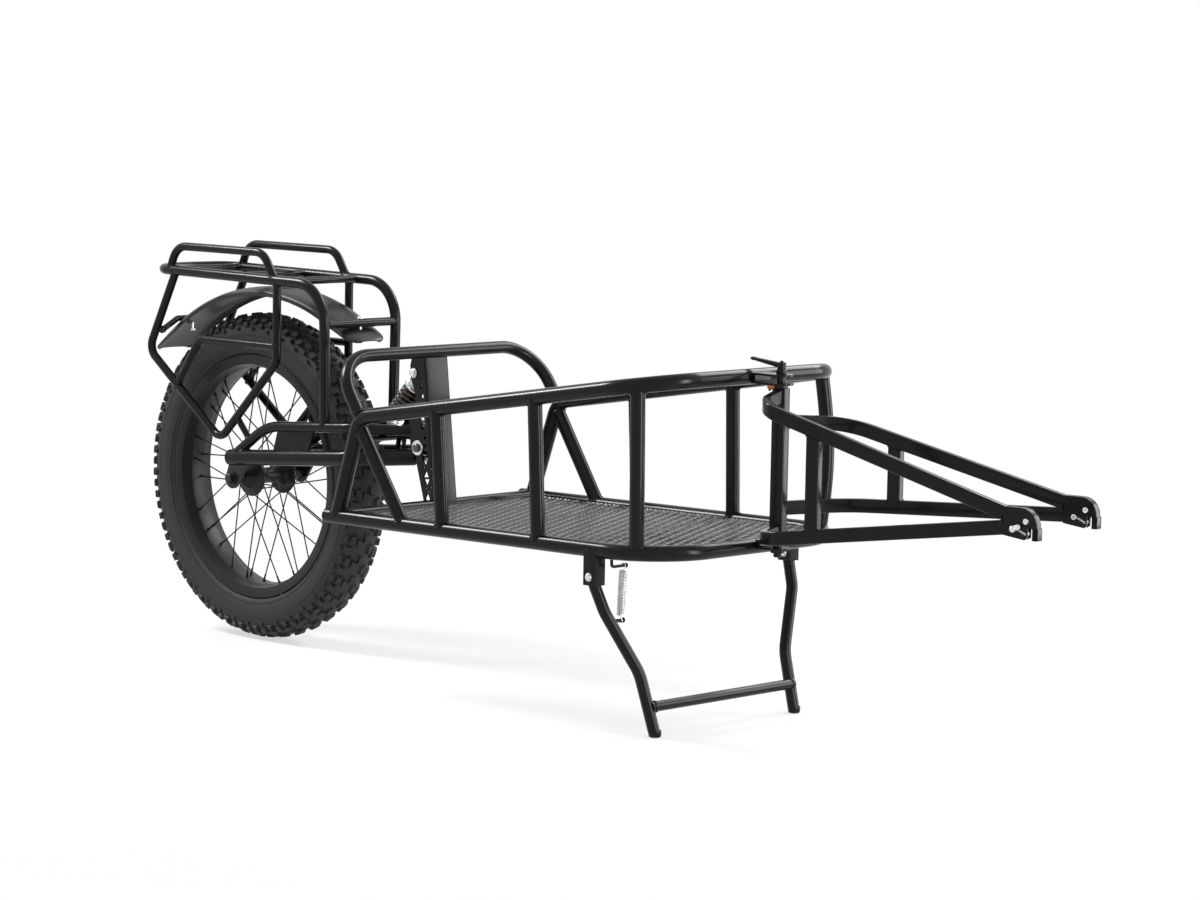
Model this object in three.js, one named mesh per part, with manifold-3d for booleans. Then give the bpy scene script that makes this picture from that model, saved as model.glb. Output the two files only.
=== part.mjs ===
// Single-wheel cargo trailer for a fat-tyre bicycle, in millimetres.
// +X points to the towing bicycle, +Y to the trailer's left, +Z up.
// Places are measured from the point where the tyre touches the ground.
import * as THREE from 'three';
import { mergeVertices } from 'three/addons/utils/BufferGeometryUtils.js';
import Module from 'manifold-3d';

const wasm = await Module();
wasm.setup();

// Driving dimensions

const FIT = { gap: 0.3, bore: 0.5, overrun: 6, weld: 0.001 };

const TYRE = { radius: 344, halfWidth: 50, bead: 250, beadHalf: 35, wall: 6, knob: 6, knobRoot: 3,
  knobLength: 36, knobWidth: 15, innerRow: 14, outerRow: 36, outerDrop: 7, blocks: 17 };
const TYRE_SHARES = { lip: 1.1, outer: [[0.3, 0.98], [0.5, 1], [0.7, 0.94], [0.86, 0.76], [0.96, 0.42]],
  inner: [[0.5, 0.88], [0.82, 0.72]] };
const RIM = { lip: 260, eye: 240, halfWidth: 42, well: 232, wellHalf: 20, wall: 5 };
const HUB = { barrel: 17, flange: 42, flangeAt: 45, flangeWall: 5, end: 15, endAt: 91, hole: 6.5, holes: 37 };
const SPOKE = { pairs: 9, radius: 1.6, rimShift: 9, lead: 2.2, apart: 2 };
const VALVE = { radius: 3.2, capRadius: 4.2, length: 34, capLength: 12 };

const LOWER = { rearX: 505, frontX: 1415, half: 271, rearZ: 336, frontZ: 351, radius: 15, corner: 133 };
const UPPER = { footX: 535, bendX: 604, bendZ: 541, frontX: 1395, frontZ: 667, half: 275, radius: 15,
  corner: 120, bend: 46 };
const HOOP = { x: 524, z: 653, half: 274, radius: 13, corner: 90 };
const BRACE = { foot: 729, topX: 603, topZ: 524 };
const POST = { radius: 14, firstAfter: 112, secondAfter: 375, cornerFoot: 1345, cornerTop: 1341, lean: 16,
  secondLean: 11, bow: 13 };
const FLOOR_CROSS = { x: 552, z: 341, radius: 12.5 };
const MESH = { thick: 3, lift: 3, border: 14, along: 76, across: 146, strand: 8 };

const MAST = { half: 32, wall: 4, topX: 528, topZ: 640, footX: 563, footZ: 341, footDepth: 32, shoulderDrop: 37,
  shoulderDepth: 46.5, pivotDepth: 62, neckDrop: 50, neckDepth: 33, topDepth: 40, firstHole: 29.4,
  holeInset: 21, holeSide: 19, holePitch: 21, holes: 13 };
const PIVOT = { x: 510, z: 456, bolt: 9, tube: 17, washer: 15, washerWall: 3, head: 10, headWall: 7, inset: 3,
  clear: 24 };

const SWING = { half: 95, rearX: -8, rearZ: 394, elbowX: 365, elbowZ: 425.5, frontZ: 436, upperZ: 470,
  upperRearX: 110, upperElbowX: 370, upperElbowZ: 489, upperFrontZ: 487, lowerRadius: 17, upperRadius: 11,
  front: 20, stub: 6, elbow: 60, rearBend: 40 };
const GUSSET = { thick: 4, rearTop: 150, rearFoot: 128, frontTop: 262, frontFoot: 238 };
const DROPOUT = { thick: 6, topRear: -4, topFront: 58, boss: 22, arcEnd: 333 };
const AXLE = { radius: 6, nut: 11, nutLength: 10, washer: 15, washerWall: 2 };
const WEB = { thick: 4, rear: 415, holes: 3, holeTop: 22, holeFoot: 14, holeHigh: 20, first: 20, pitch: 27 };

const SHOCK = { topX: 495, topZ: 608, footX: 385, footZ: 492, bolt: 5, washer: 10, head: 8.5, headWall: 5,
  eye: 10, eyeLength: 24, neck: 8, body: 14, bodyLength: 88, hole: 6.5, rod: 5, rodInset: 15.4, seat: 24,
  seatWall: 5, topSeatAt: 44, footSeatAt: 24, cap: 19, capFrom: 16, capTo: 34 };
const COIL = { curls: 7, radius: 18.5, wire: 3.4, steps: 8, sides: 5, neck: 0 };
const CARRIER = { radius: 12, cheek: 4, cheekHigh: 16, lug: 8 };

const RACK = { half: 100, rearX: -252, rearZ: 783, frontZ: 777, frontX: 294, radius: 11, corner: 46, bend: 85,
  bow: 14, bowBend: 200, footHalf: 95, footZ: 482 };
const RACK_BAR = { radius: 8, rearX: -209, middleX: 4, frontX: 172, crossZ: 696, crossRadius: 9 };
const SIDE_HOOP = { rearFoot: -209, rearTop: -186, frontTop: 100, frontFoot: 137, rise: 52, radius: 9,
  bend: 46 };
const PANNIER = { topRear: -188, rearX: -279, rearZ: 607, lowX: -36, lowZ: 430, frontX: 145, frontZ: 607,
  radius: 9, bend: 30, barZ: 640, barElbow: -108, barFoot: -186, barFootZ: 529, barRadius: 8, strutTopX: 17,
  strutTopZ: 484, strutFootX: 47, strutFootZ: 445, strutRadius: 7 };
const FENDER = { x: 35, z: 260, radius: 497, half: 53, skirt: 12, crown: 6, roll: 15, flat: 18, thick: 3,
  rearAngle: 136, frontAngle: 54, steps: 14 };
const STAY = { footX: -238, footZ: 649, x: -255, half: 42, radius: 6.5, bend: 20 };
const FENDER_BOLT = { radius: 3, head: 7, headWall: 4, nutWall: 4, dome: 5 };

const KINGPIN = { x: 1464, radius: 8, top: 698, foot: 341, collar: 10, collarWall: 8, nut: 13, nutWall: 6 };
const LEVER = { length: 74, rise: 9, width: 12, thick: 7, hub: 8.5, hubHigh: 12 };
const HEAD = { long: 28, wide: 22, hole: 10, top: 650 };
const KING_BRACKET = { width: 44, plate: 4, upperTop: 676, upperFoot: 655.5, lowerTop: 365, lowerFoot: 348,
  nose: 22 };
const BUSHING = { radius: 13 };

const YOKE = { yaw: 9, half: 110, wide: 16, high: 26, tipX: 556, tipTopZ: 470, tipLowZ: 452, strutLong: 27,
  strutWide: 18 };
const YOKE_ARMS = {
  right: { rootTop: 637, elbowTop: 624, rootLow: 382, elbowLow: 380, elbowX: 25, bend: 60, strutX: 144 },
  left: { rootTop: 588, elbowTop: 582, rootLow: 426, elbowLow: 429, elbowX: 80, bend: 100, strutX: 185 },
};
const HITCH = { rearX: 540, frontX: 609, top: 487, high: 56, slotX: 593, slot: 10, slotHigh: 23, arc: 34,
  plate: 8, rim: 6, boltX: 585, boltZ: 464, bolt: 5, boltWall: 3, notch: 3, notchFrom: 12 };
const LATCH = { radius: 3, rearX: 560, rearZ: 451, tipX: 586.5, tipZ: 439, knob: 6.5, knobWall: 10, window: 8 };

const STAND = { x: 1254, z: 298, half: 271, kneeX: 1273, kneeHalf: 262, kneeZ: 232, shinX: 1309, shinHalf: 203,
  shinZ: 116, footX: 1344, footHalf: 195, radius: 11.5, bend: 40, barX: 1335, barZ: 55.5, barRadius: 10,
  bolt: 4.5, head: 8, headWall: 5, pinX: 1278, pinHigh: 214.5, pinHalf: 216, pinRadius: 3.5 };
const STAND_BRACKET = { size: 30, wall: 2.5, foot: 282, headroom: 17 };
const ROD = { x: 1284, z: 318, radius: 3, tipHalf: 217, rootHalf: 257, bend: 6 };
const EXTENSION = { curls: 15, radius: 7.2, wire: 1.1, half: 225, steps: 8, sides: 5, neck: 3 };

// Materials

const BLACK = { color: 0x17181a, roughness: 0.45, metalness: 0.35 };
const PLASTIC = { color: 0x1c1c1d, roughness: 0.62, metalness: 0 };
const RUBBER = { color: 0x161616, roughness: 0.9, metalness: 0 };
const STEEL = { color: 0xb9bcc0, roughness: 0.3, metalness: 0.9 };
const SPRING = { color: 0x2a2622, roughness: 0.35, metalness: 0.6 };
const BRASS = { color: 0xb07a4a, roughness: 0.35, metalness: 0.9 };

// Small helpers

const TUBE_SIDES = 8;
const SMALL_SIDES = 6;
const SPOKE_SIDES = 4;
const POST_PARTS = 6;
const BOLT_SEGMENTS = 10;
const EYE_SEGMENTS = 12;
const PIVOT_SEGMENTS = 14;
const HUB_SEGMENTS = 16;
const WHEEL_SEGMENTS = 32;
const CURVE_SEGMENTS = 6;
const BEND_STEP = Math.PI / 6;
const RIGHT = -1;
const LEFT = 1;
const SIDES = [['right', RIGHT], ['left', LEFT]];
const UP = new THREE.Vector3(0, 0, 1);
const FORWARD = new THREE.Vector3(1, 0, 0);
const ACROSS = new THREE.Vector3(0, 1, 0);
const LEAN_FORWARD = new THREE.Vector3(1, 0, 1).normalize();
const LEAN_BACK = new THREE.Vector3(-1, 0, 1).normalize();
const trailer = new THREE.Group();

const at = (x, y, z) => new THREE.Vector3(x, y, z);
const mix = (a, b, share) => a + (b - a) * share;
const shareOf = (value, from, to) => (value - from) / (to - from);

// A closed geometry as a solid, with its faces turned outward
function solid(geometry) {
  const bare = new THREE.BufferGeometry();
  bare.setAttribute('position', geometry.getAttribute('position').clone());
  if (geometry.index) bare.setIndex(geometry.index.clone());
  const merged = mergeVertices(bare, FIT.weld);
  const corners = Array.from(merged.index.array);
  const places = merged.attributes.position;
  const triangles = [];
  let volume = 0;
  for (let i = 0; i < corners.length; i += 3) {
    const [a, b, c] = [corners[i], corners[i + 1], corners[i + 2]];
    if (a === b || b === c || c === a) continue;
    triangles.push(a, b, c);
    const pa = new THREE.Vector3().fromBufferAttribute(places, a);
    const pb = new THREE.Vector3().fromBufferAttribute(places, b);
    const pc = new THREE.Vector3().fromBufferAttribute(places, c);
    volume += pa.dot(pb.cross(pc));
  }
  if (volume < 0) triangles.reverse();
  return new wasm.Manifold(new wasm.Mesh({
    numProp: 3,
    vertProperties: Float32Array.from(places.array),
    triVerts: Uint32Array.from(triangles),
  }));
}

// A solid as a named mesh with its own material
function piece(name, body, look, parent = trailer) {
  const mesh = body.getMesh();
  const geometry = new THREE.BufferGeometry();
  geometry.setAttribute('position', new THREE.BufferAttribute(Float32Array.from(mesh.vertProperties), 3));
  geometry.setIndex(new THREE.BufferAttribute(Uint32Array.from(mesh.triVerts), 1));
  geometry.computeVertexNormals();
  const made = new THREE.Mesh(geometry, new THREE.MeshStandardMaterial({ ...look, flatShading: true }));
  made.name = name;
  parent.add(made);
  return made;
}

// A path through given stations, with frames that keep one direction upright
class StationPath extends THREE.Curve {
  constructor(stations, upright) {
    super();
    this.stations = stations;
    this.upright = upright;
  }

  getPoint(t, target = new THREE.Vector3()) {
    const last = this.stations.length - 1;
    const index = Math.min(Math.floor(t * last), last - 1);
    return target.lerpVectors(this.stations[index], this.stations[index + 1], t * last - index);
  }

  getPointAt(u, target) {
    return this.getPoint(u, target);
  }

  tangentOf(index) {
    const here = this.stations[index];
    const before = this.stations[Math.max(index - 1, 0)];
    const after = this.stations[Math.min(index + 1, this.stations.length - 1)];
    const arriving = here.clone().sub(before).normalize();
    return arriving.add(after.clone().sub(here).normalize()).normalize();
  }

  getTangentAt(u) {
    return this.tangentOf(Math.round(u * (this.stations.length - 1)));
  }

  computeFrenetFrames(steps) {
    if (!this.upright) return super.computeFrenetFrames(steps, false);
    const frames = { tangents: [], normals: [], binormals: [] };
    for (let i = 0; i <= steps; i++) {
      const tangent = this.tangentOf(i);
      const binormal = this.upright.clone().addScaledVector(tangent, -this.upright.dot(tangent)).normalize();
      frames.tangents.push(tangent);
      frames.binormals.push(binormal);
      frames.normals.push(new THREE.Vector3().crossVectors(binormal, tangent));
    }
    return frames;
  }
}

// Stations along a polyline whose inner corners are rounded to a radius
function rounded(corners, radius, step = BEND_STEP) {
  const stations = [corners[0]];
  for (let i = 1; i < corners.length - 1; i++) {
    const into = corners[i].clone().sub(corners[i - 1]).normalize();
    const out = corners[i + 1].clone().sub(corners[i]).normalize();
    const turn = into.angleTo(out);
    const size = Array.isArray(radius) ? radius[i - 1] : radius;
    const reach = size * Math.tan(turn / 2);
    const start = corners[i].clone().addScaledVector(into, -reach);
    const inward = out.clone().addScaledVector(into, -into.dot(out)).normalize();
    const centre = start.clone().addScaledVector(inward, size);
    const parts = Math.max(Math.ceil(turn / step), 1);
    for (let k = 0; k <= parts; k++) {
      const angle = turn * k / parts;
      stations.push(centre.clone()
        .addScaledVector(inward, -size * Math.cos(angle))
        .addScaledVector(into, size * Math.sin(angle)));
    }
  }
  stations.push(corners[corners.length - 1]);
  return stations;
}

function polygon(radius, sides) {
  const shape = new THREE.Shape();
  for (let i = 0; i < sides; i++) {
    const angle = Math.PI * 2 * (i + 0.5) / sides;
    const [x, y] = [radius * Math.cos(angle), radius * Math.sin(angle)];
    if (i === 0) shape.moveTo(x, y);
    else shape.lineTo(x, y);
  }
  return shape;
}

function outline(points) {
  const shape = new THREE.Shape();
  points.forEach(([x, y], i) => (i === 0 ? shape.moveTo(x, y) : shape.lineTo(x, y)));
  return shape;
}

function rectangle(width, height) {
  return outline([[-width / 2, -height / 2], [width / 2, -height / 2], [width / 2, height / 2],
    [-width / 2, height / 2]]);
}

function sweep(shape, stations, upright) {
  const path = new StationPath(stations, upright);
  const geometry = new THREE.ExtrudeGeometry(shape, { steps: stations.length - 1, extrudePath: path });
  return solid(geometry);
}

function tube(stations, radius, sides = TUBE_SIDES, upright = ACROSS) {
  return sweep(polygon(radius, sides), stations, upright);
}

// A tube grown enough to swallow another tube's end, for coping it
function envelope(stations, radius, sides = TUBE_SIDES, upright = ACROSS) {
  return tube(stations, radius + FIT.gap / Math.cos(Math.PI / sides), sides, upright);
}

function rod(from, to, radius, sides = SMALL_SIDES) {
  const along = to.clone().sub(from).normalize();
  const upright = Math.abs(along.dot(UP)) < Math.abs(along.dot(FORWARD)) ? UP : FORWARD;
  return tube([from, to], radius, sides, upright);
}

// A flat plate drawn in the X-Z plane and centred on a Y place
function sidePlate(shape, y, thick) {
  const geometry = new THREE.ExtrudeGeometry(shape, { depth: thick, bevelEnabled: false,
    curveSegments: CURVE_SEGMENTS });
  geometry.rotateX(Math.PI / 2);
  geometry.translate(0, y + thick / 2, 0);
  return solid(geometry);
}

// A turned piece about an axis along Y, from a closed profile of radius and place
function turned(profile, segments, x, z) {
  const geometry = new THREE.LatheGeometry(profile.map(([r, y]) => new THREE.Vector2(r, y)), segments);
  geometry.translate(x, 0, z);
  return solid(geometry);
}

// A bore's radius, grown so that its flats clear the round piece inside
function bore(radius, clearance, segments) {
  return (radius + clearance) / Math.cos(Math.PI / segments);
}

function ring(outer, inner, from, to) {
  return [[inner, from], [outer, from], [outer, to], [inner, to], [inner, from]];
}

function disc(radius, from, to) {
  return [[0, from], [radius, from], [radius, to], [0, to]];
}

// A turned piece carried to a place, with its axis along a direction
function turnedAlong(profile, segments, place, direction) {
  const geometry = new THREE.LatheGeometry(profile.map(([r, y]) => new THREE.Vector2(r, y)), segments);
  geometry.applyQuaternion(new THREE.Quaternion().setFromUnitVectors(ACROSS, direction.clone().normalize()));
  geometry.translate(place.x, place.y, place.z);
  return solid(geometry);
}

function block(width, depth, height, x, y, z) {
  return solid(new THREE.BoxGeometry(width, depth, height).translate(x, y, z));
}

function join(bodies) {
  return bodies.reduce((whole, body) => whole.add(body));
}

function cut(body, tools) {
  return tools.reduce((whole, tool) => whole.subtract(tool), body);
}

// Basket rails

const lowerZ = (x) => mix(LOWER.rearZ, LOWER.frontZ, shareOf(x, LOWER.rearX, LOWER.frontX));
const upperZ = (x) => mix(UPPER.bendZ, UPPER.frontZ, shareOf(x, UPPER.bendX, UPPER.frontX));

function cornerY(rail, x) {
  const start = rail.frontX - rail.corner;
  if (x <= start) return rail.half;
  return rail.half - rail.corner + Math.sqrt(rail.corner ** 2 - (x - start) ** 2);
}

const lowerRoute = rounded([
  at(LOWER.rearX, RIGHT * LOWER.half, LOWER.rearZ),
  at(LOWER.frontX, RIGHT * LOWER.half, LOWER.frontZ),
  at(LOWER.frontX, LEFT * LOWER.half, LOWER.frontZ),
  at(LOWER.rearX, LEFT * LOWER.half, LOWER.rearZ),
], LOWER.corner);

const upperRoute = rounded([
  at(UPPER.footX, RIGHT * LOWER.half, lowerZ(UPPER.footX)),
  at(UPPER.bendX, RIGHT * UPPER.half, UPPER.bendZ),
  at(UPPER.frontX, RIGHT * UPPER.half, UPPER.frontZ),
  at(UPPER.frontX, LEFT * UPPER.half, UPPER.frontZ),
  at(UPPER.bendX, LEFT * UPPER.half, UPPER.bendZ),
  at(UPPER.footX, LEFT * LOWER.half, lowerZ(UPPER.footX)),
], [UPPER.bend, UPPER.corner, UPPER.corner, UPPER.bend]);

const hoopRoute = rounded([
  at(UPPER.bendX, RIGHT * UPPER.half, UPPER.bendZ),
  at(HOOP.x, RIGHT * HOOP.half, HOOP.z),
  at(HOOP.x, LEFT * HOOP.half, HOOP.z),
  at(UPPER.bendX, LEFT * UPPER.half, UPPER.bendZ),
], HOOP.corner);

const floorCrossRoute = [
  at(FLOOR_CROSS.x, RIGHT * LOWER.half, FLOOR_CROSS.z),
  at(FLOOR_CROSS.x, LEFT * LOWER.half, FLOOR_CROSS.z),
];

const lowerEnvelope = envelope(lowerRoute, LOWER.radius, TUBE_SIDES, UP);
const upperEnvelope = envelope(upperRoute, UPPER.radius, TUBE_SIDES, LEAN_BACK);
const hoopEnvelope = envelope(hoopRoute, HOOP.radius, TUBE_SIDES, LEAN_FORWARD);
const floorCrossEnvelope = envelope(floorCrossRoute, FLOOR_CROSS.radius, TUBE_SIDES, UP);

function basketRails() {
  piece('lower_rail', tube(lowerRoute, LOWER.radius, TUBE_SIDES, UP), BLACK);
  const upper = tube(upperRoute, UPPER.radius, TUBE_SIDES, LEAN_BACK);
  piece('upper_rail', cut(upper, [lowerEnvelope]), BLACK);
  const hoop = tube(hoopRoute, HOOP.radius, TUBE_SIDES, LEAN_FORWARD);
  piece('seat_hoop', cut(hoop, [upperEnvelope]), BLACK);
  const cross = tube(floorCrossRoute, FLOOR_CROSS.radius, TUBE_SIDES, UP);
  piece('rear_floor_cross', cut(cross, [lowerEnvelope, upperEnvelope]), BLACK);
}

function basketPosts() {
  for (const [name, side] of SIDES) {
    const uprights = [
      ['first', BRACE.foot + POST.firstAfter, POST.lean, 0],
      ['second', BRACE.foot + POST.secondAfter, POST.secondLean, 0],
      ['corner', POST.cornerFoot, POST.cornerFoot - POST.cornerTop, POST.bow],
    ];
    for (const [label, footX, lean, bow] of uprights) {
      const topX = footX - lean;
      const foot = at(footX, side * cornerY(LOWER, footX), lowerZ(footX));
      const top = at(topX, side * cornerY(UPPER, topX), upperZ(topX));
      const stations = [foot];
      const parts = bow > 0 ? POST_PARTS : 0;
      const outward = at(1, side, 0).normalize();
      for (let i = 1; i < parts; i++) {
        const share = i / parts;
        stations.push(foot.clone().lerp(top, share).addScaledVector(outward, bow * Math.sin(Math.PI * share)));
      }
      stations.push(top);
      const post = tube(stations, POST.radius, TUBE_SIDES, FORWARD);
      piece(`${label}_post_${name}`, cut(post, [lowerEnvelope, upperEnvelope]), BLACK);
    }
    const topHalf = mix(LOWER.half, UPPER.half, shareOf(BRACE.topX, UPPER.footX, UPPER.bendX));
    const top = at(BRACE.topX, side * topHalf, BRACE.topZ);
    const foot = at(BRACE.foot, side * LOWER.half, lowerZ(BRACE.foot));
    const brace = rod(top, foot, POST.radius, TUBE_SIDES);
    piece(`rear_brace_${name}`, cut(brace, [lowerEnvelope, upperEnvelope]), BLACK);
  }
}

// Expanded-metal floor panel, lying inside the lower rail, with the diamonds' long way across

function floorMesh() {
  const edge = LOWER.radius + FIT.gap;
  const [rear, front] = [FLOOR_CROSS.x + FLOOR_CROSS.radius + FIT.gap, LOWER.frontX - edge];
  const half = LOWER.half - edge;
  const corner = LOWER.corner - edge;
  const panel = new THREE.Shape();
  panel.moveTo(rear, -half);
  panel.lineTo(front - corner, -half);
  panel.absarc(front - corner, corner - half, corner, -Math.PI / 2, 0, false);
  panel.absarc(front - corner, half - corner, corner, 0, Math.PI / 2, false);
  panel.lineTo(rear, half);
  const [stepX, stepY] = [MESH.along / 2, MESH.across / 2];
  const apothem = stepX * stepY / Math.hypot(stepX, stepY);
  const share = 1 - MESH.strand / 2 / apothem;
  const [long, wide] = [stepX * share, stepY * share];
  const columns = Math.floor((front - rear - MESH.border * 2) / stepX) - 1;
  const rows = Math.floor((half - MESH.border) * 2 / stepY) - 1;
  const fromCorner = (x, y) => Math.hypot(Math.max(x - front + corner, 0), Math.max(y - half + corner, 0));
  for (let column = 0; column < columns; column++) {
    for (let row = column % 2; row < rows; row += 2) {
      const x = (rear + front) / 2 + (column - (columns - 1) / 2) * stepX;
      const y = (row - (rows - 1) / 2) * stepY;
      const past = Math.max(fromCorner(x + long, Math.abs(y)), fromCorner(x, Math.abs(y) + wide));
      if (past > corner - MESH.border) continue;
      panel.holes.push(outline([[x - long, y], [x, y - wide], [x + long, y], [x, y + wide]]));
    }
  }
  const geometry = new THREE.ExtrudeGeometry(panel, { depth: MESH.thick, bevelEnabled: false,
    curveSegments: CURVE_SEGMENTS });
  geometry.translate(-LOWER.rearX, 0, MESH.lift);
  geometry.rotateY(-Math.atan2(LOWER.frontZ - LOWER.rearZ, LOWER.frontX - LOWER.rearX));
  geometry.translate(LOWER.rearX, 0, LOWER.rearZ);
  piece('floor_mesh', cut(solid(geometry), [lowerEnvelope, floorCrossEnvelope]), BLACK);
}

// Mast: a tapered channel whose side walls carry the pivot, with a truss of lightening holes

const mastFrontX = (z) => mix(MAST.footX, MAST.topX, shareOf(z, MAST.footZ, MAST.topZ));

function mast() {
  const shockEar = SHOCK.eye + MAST.wall;
  const earDepth = mastFrontX(SHOCK.topZ) - SHOCK.topX + SHOCK.eye;
  const places = [
    [MAST.footZ, MAST.footDepth],
    [PIVOT.z - MAST.shoulderDrop, MAST.shoulderDepth],
    [PIVOT.z, MAST.pivotDepth],
    [PIVOT.z + MAST.pivotDepth, MAST.pivotDepth],
    [SHOCK.topZ - MAST.neckDrop, MAST.neckDepth],
    [SHOCK.topZ - shockEar, earDepth],
    [SHOCK.topZ + shockEar, earDepth],
    [MAST.topZ, MAST.topDepth],
  ];
  const profile = outline([
    [mastFrontX(MAST.footZ), MAST.footZ],
    [mastFrontX(MAST.topZ), MAST.topZ],
    ...places.slice().reverse().map(([z, depth]) => [mastFrontX(z) - depth, z]),
  ]);
  const inside = outline([
    [mastFrontX(MAST.footZ) - MAST.wall, MAST.footZ - FIT.overrun],
    [mastFrontX(MAST.topZ) - MAST.wall, MAST.topZ + FIT.overrun],
    [MAST.topX - MAST.pivotDepth * 2, MAST.topZ + FIT.overrun],
    [MAST.topX - MAST.pivotDepth * 2, MAST.footZ - FIT.overrun],
  ]);
  const tools = [sidePlate(inside, 0, (MAST.half - MAST.wall) * 2), floorCrossEnvelope, hoopEnvelope];
  const through = (MAST.half + FIT.overrun) * 2;
  for (let i = 0; i < MAST.holes; i++) {
    const z = MAST.footZ + MAST.firstHole + i * MAST.holePitch;
    const nearShock = Math.abs(z - SHOCK.topZ) < shockEar;
    const nearPivot = Math.abs(z - PIVOT.z) < PIVOT.clear;
    if (nearShock || nearPivot) continue;
    const x = mastFrontX(z) - MAST.holeInset;
    const half = MAST.holeSide / 2;
    const high = i % 2 === 0 ? half : -half;
    const triangle = outline([[x - half, z - high], [x + half, z - high], [x, z + high]]);
    tools.push(sidePlate(triangle, 0, through));
  }
  for (const [bolt, x, z] of [[PIVOT.bolt, PIVOT.x, PIVOT.z], [SHOCK.bolt, SHOCK.topX, SHOCK.topZ]]) {
    const hole = disc(bore(bolt, FIT.gap, BOLT_SEGMENTS), -through / 2, through / 2);
    tools.push(turned(hole, BOLT_SEGMENTS, x, z));
  }
  piece('mast', cut(sidePlate(profile, 0, MAST.half * 2), tools), BLACK);
}

// A through bolt along Y, with a washer under its head at each end
function throughBolt(radius, washer, washerWall, head, headWall, half) {
  const seat = half + FIT.gap;
  const face = seat + washerWall;
  const end = face + headWall;
  return [[0, -end], [head, -end], [head, -face], [washer, -face], [washer, -seat], [radius, -seat],
    [radius, seat], [washer, seat], [washer, face], [head, face], [head, end], [0, end]];
}

function frameBolts() {
  const pivot = throughBolt(PIVOT.bolt, PIVOT.washer, PIVOT.washerWall, PIVOT.head, PIVOT.headWall, MAST.half);
  piece('pivot_bolt', turned(pivot, BOLT_SEGMENTS, PIVOT.x, PIVOT.z), STEEL);
  const shock = throughBolt(SHOCK.bolt, SHOCK.washer, AXLE.washerWall, SHOCK.head, SHOCK.headWall, MAST.half);
  piece('shock_bolt', turned(shock, BOLT_SEGMENTS, SHOCK.topX, SHOCK.topZ), STEEL);
}

// Swinging rear fork

function lowerForkRoute(side) {
  return rounded([
    at(SWING.rearX, side * SWING.half, SWING.rearZ),
    at(SWING.elbowX, side * SWING.half, SWING.elbowZ),
    at(PIVOT.x, side * SWING.front, SWING.frontZ),
  ], SWING.elbow);
}

function upperForkRoute(side) {
  const foot = at(SWING.rearX + SWING.lowerRadius, side * SWING.half, SWING.rearZ + SWING.lowerRadius / 2);
  return rounded([
    foot,
    at(SWING.upperRearX, side * SWING.half, SWING.upperZ),
    at(SWING.upperElbowX, side * SWING.half, SWING.upperElbowZ),
    at(PIVOT.x - PIVOT.tube, side * SWING.front, SWING.upperFrontZ),
  ], [SWING.rearBend, SWING.elbow]);
}

const upperForkEnvelopes = SIDES.map(([, side]) => (
  envelope(upperForkRoute(side), SWING.upperRadius, TUBE_SIDES, UP)));
const lowerForkEnvelopes = SIDES.map(([, side]) => (
  envelope(lowerForkRoute(side), SWING.lowerRadius, TUBE_SIDES, UP)));

function forkZ(x) {
  return mix(SWING.rearZ, SWING.elbowZ, shareOf(x, SWING.rearX, SWING.elbowX));
}

function swingArms() {
  const carrierKeepOut = envelope(carrierRoute(), CARRIER.radius, TUBE_SIDES, UP);
  const span = SWING.half * 2;
  const middle = block(span, FIT.gap * 2 + WEB.thick, span, PIVOT.x, 0, PIVOT.z);
  const ahead = block(span, span, span, PIVOT.x + SWING.stub + span / 2, 0, PIVOT.z);
  const mastRear = MAST.topX - MAST.pivotDepth + FIT.bore;
  const mastInner = MAST.half - MAST.wall - FIT.bore;
  for (const [name, side] of SIDES) {
    const lower = tube(lowerForkRoute(side), SWING.lowerRadius, TUBE_SIDES, UP);
    const upper = tube(upperForkRoute(side), SWING.upperRadius, TUBE_SIDES, UP);
    const plateTop = SWING.upperZ + SWING.upperRadius / 2;
    const gusset = sidePlate(outline([
      [GUSSET.rearFoot, forkZ(GUSSET.rearFoot)],
      [GUSSET.frontFoot, forkZ(GUSSET.frontFoot)],
      [GUSSET.frontTop, plateTop],
      [GUSSET.rearTop, plateTop],
    ]), side * SWING.half, GUSSET.thick);
    const nose = PIVOT.x - PIVOT.tube - SWING.upperRadius;
    const cheekFoot = SWING.frontZ - SWING.lowerRadius / 2;
    const cheek = sidePlate(outline([
      [nose, cheekFoot],
      [PIVOT.x, cheekFoot],
      [PIVOT.x, SWING.upperFrontZ],
      [nose, SWING.upperFrontZ],
    ]), side * SWING.front, GUSSET.thick);
    const flatY = side * (mastInner + SWING.half / 2);
    const flat = block(span, SWING.half, span, mastRear + span / 2, flatY, PIVOT.z);
    const arm = cut(join([lower, upper, gusset, cheek]), [carrierKeepOut, pivotRoom(), middle, ahead, flat,
      dropoutPlate(side, FIT.gap)]);
    piece(`swing_arm_${name}`, arm, BLACK);
  }
}

// Room round the pivot tube
function pivotRoom() {
  return turned(disc(PIVOT.tube + FIT.gap, -MAST.half, MAST.half), PIVOT_SEGMENTS, PIVOT.x, PIVOT.z);
}

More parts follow.
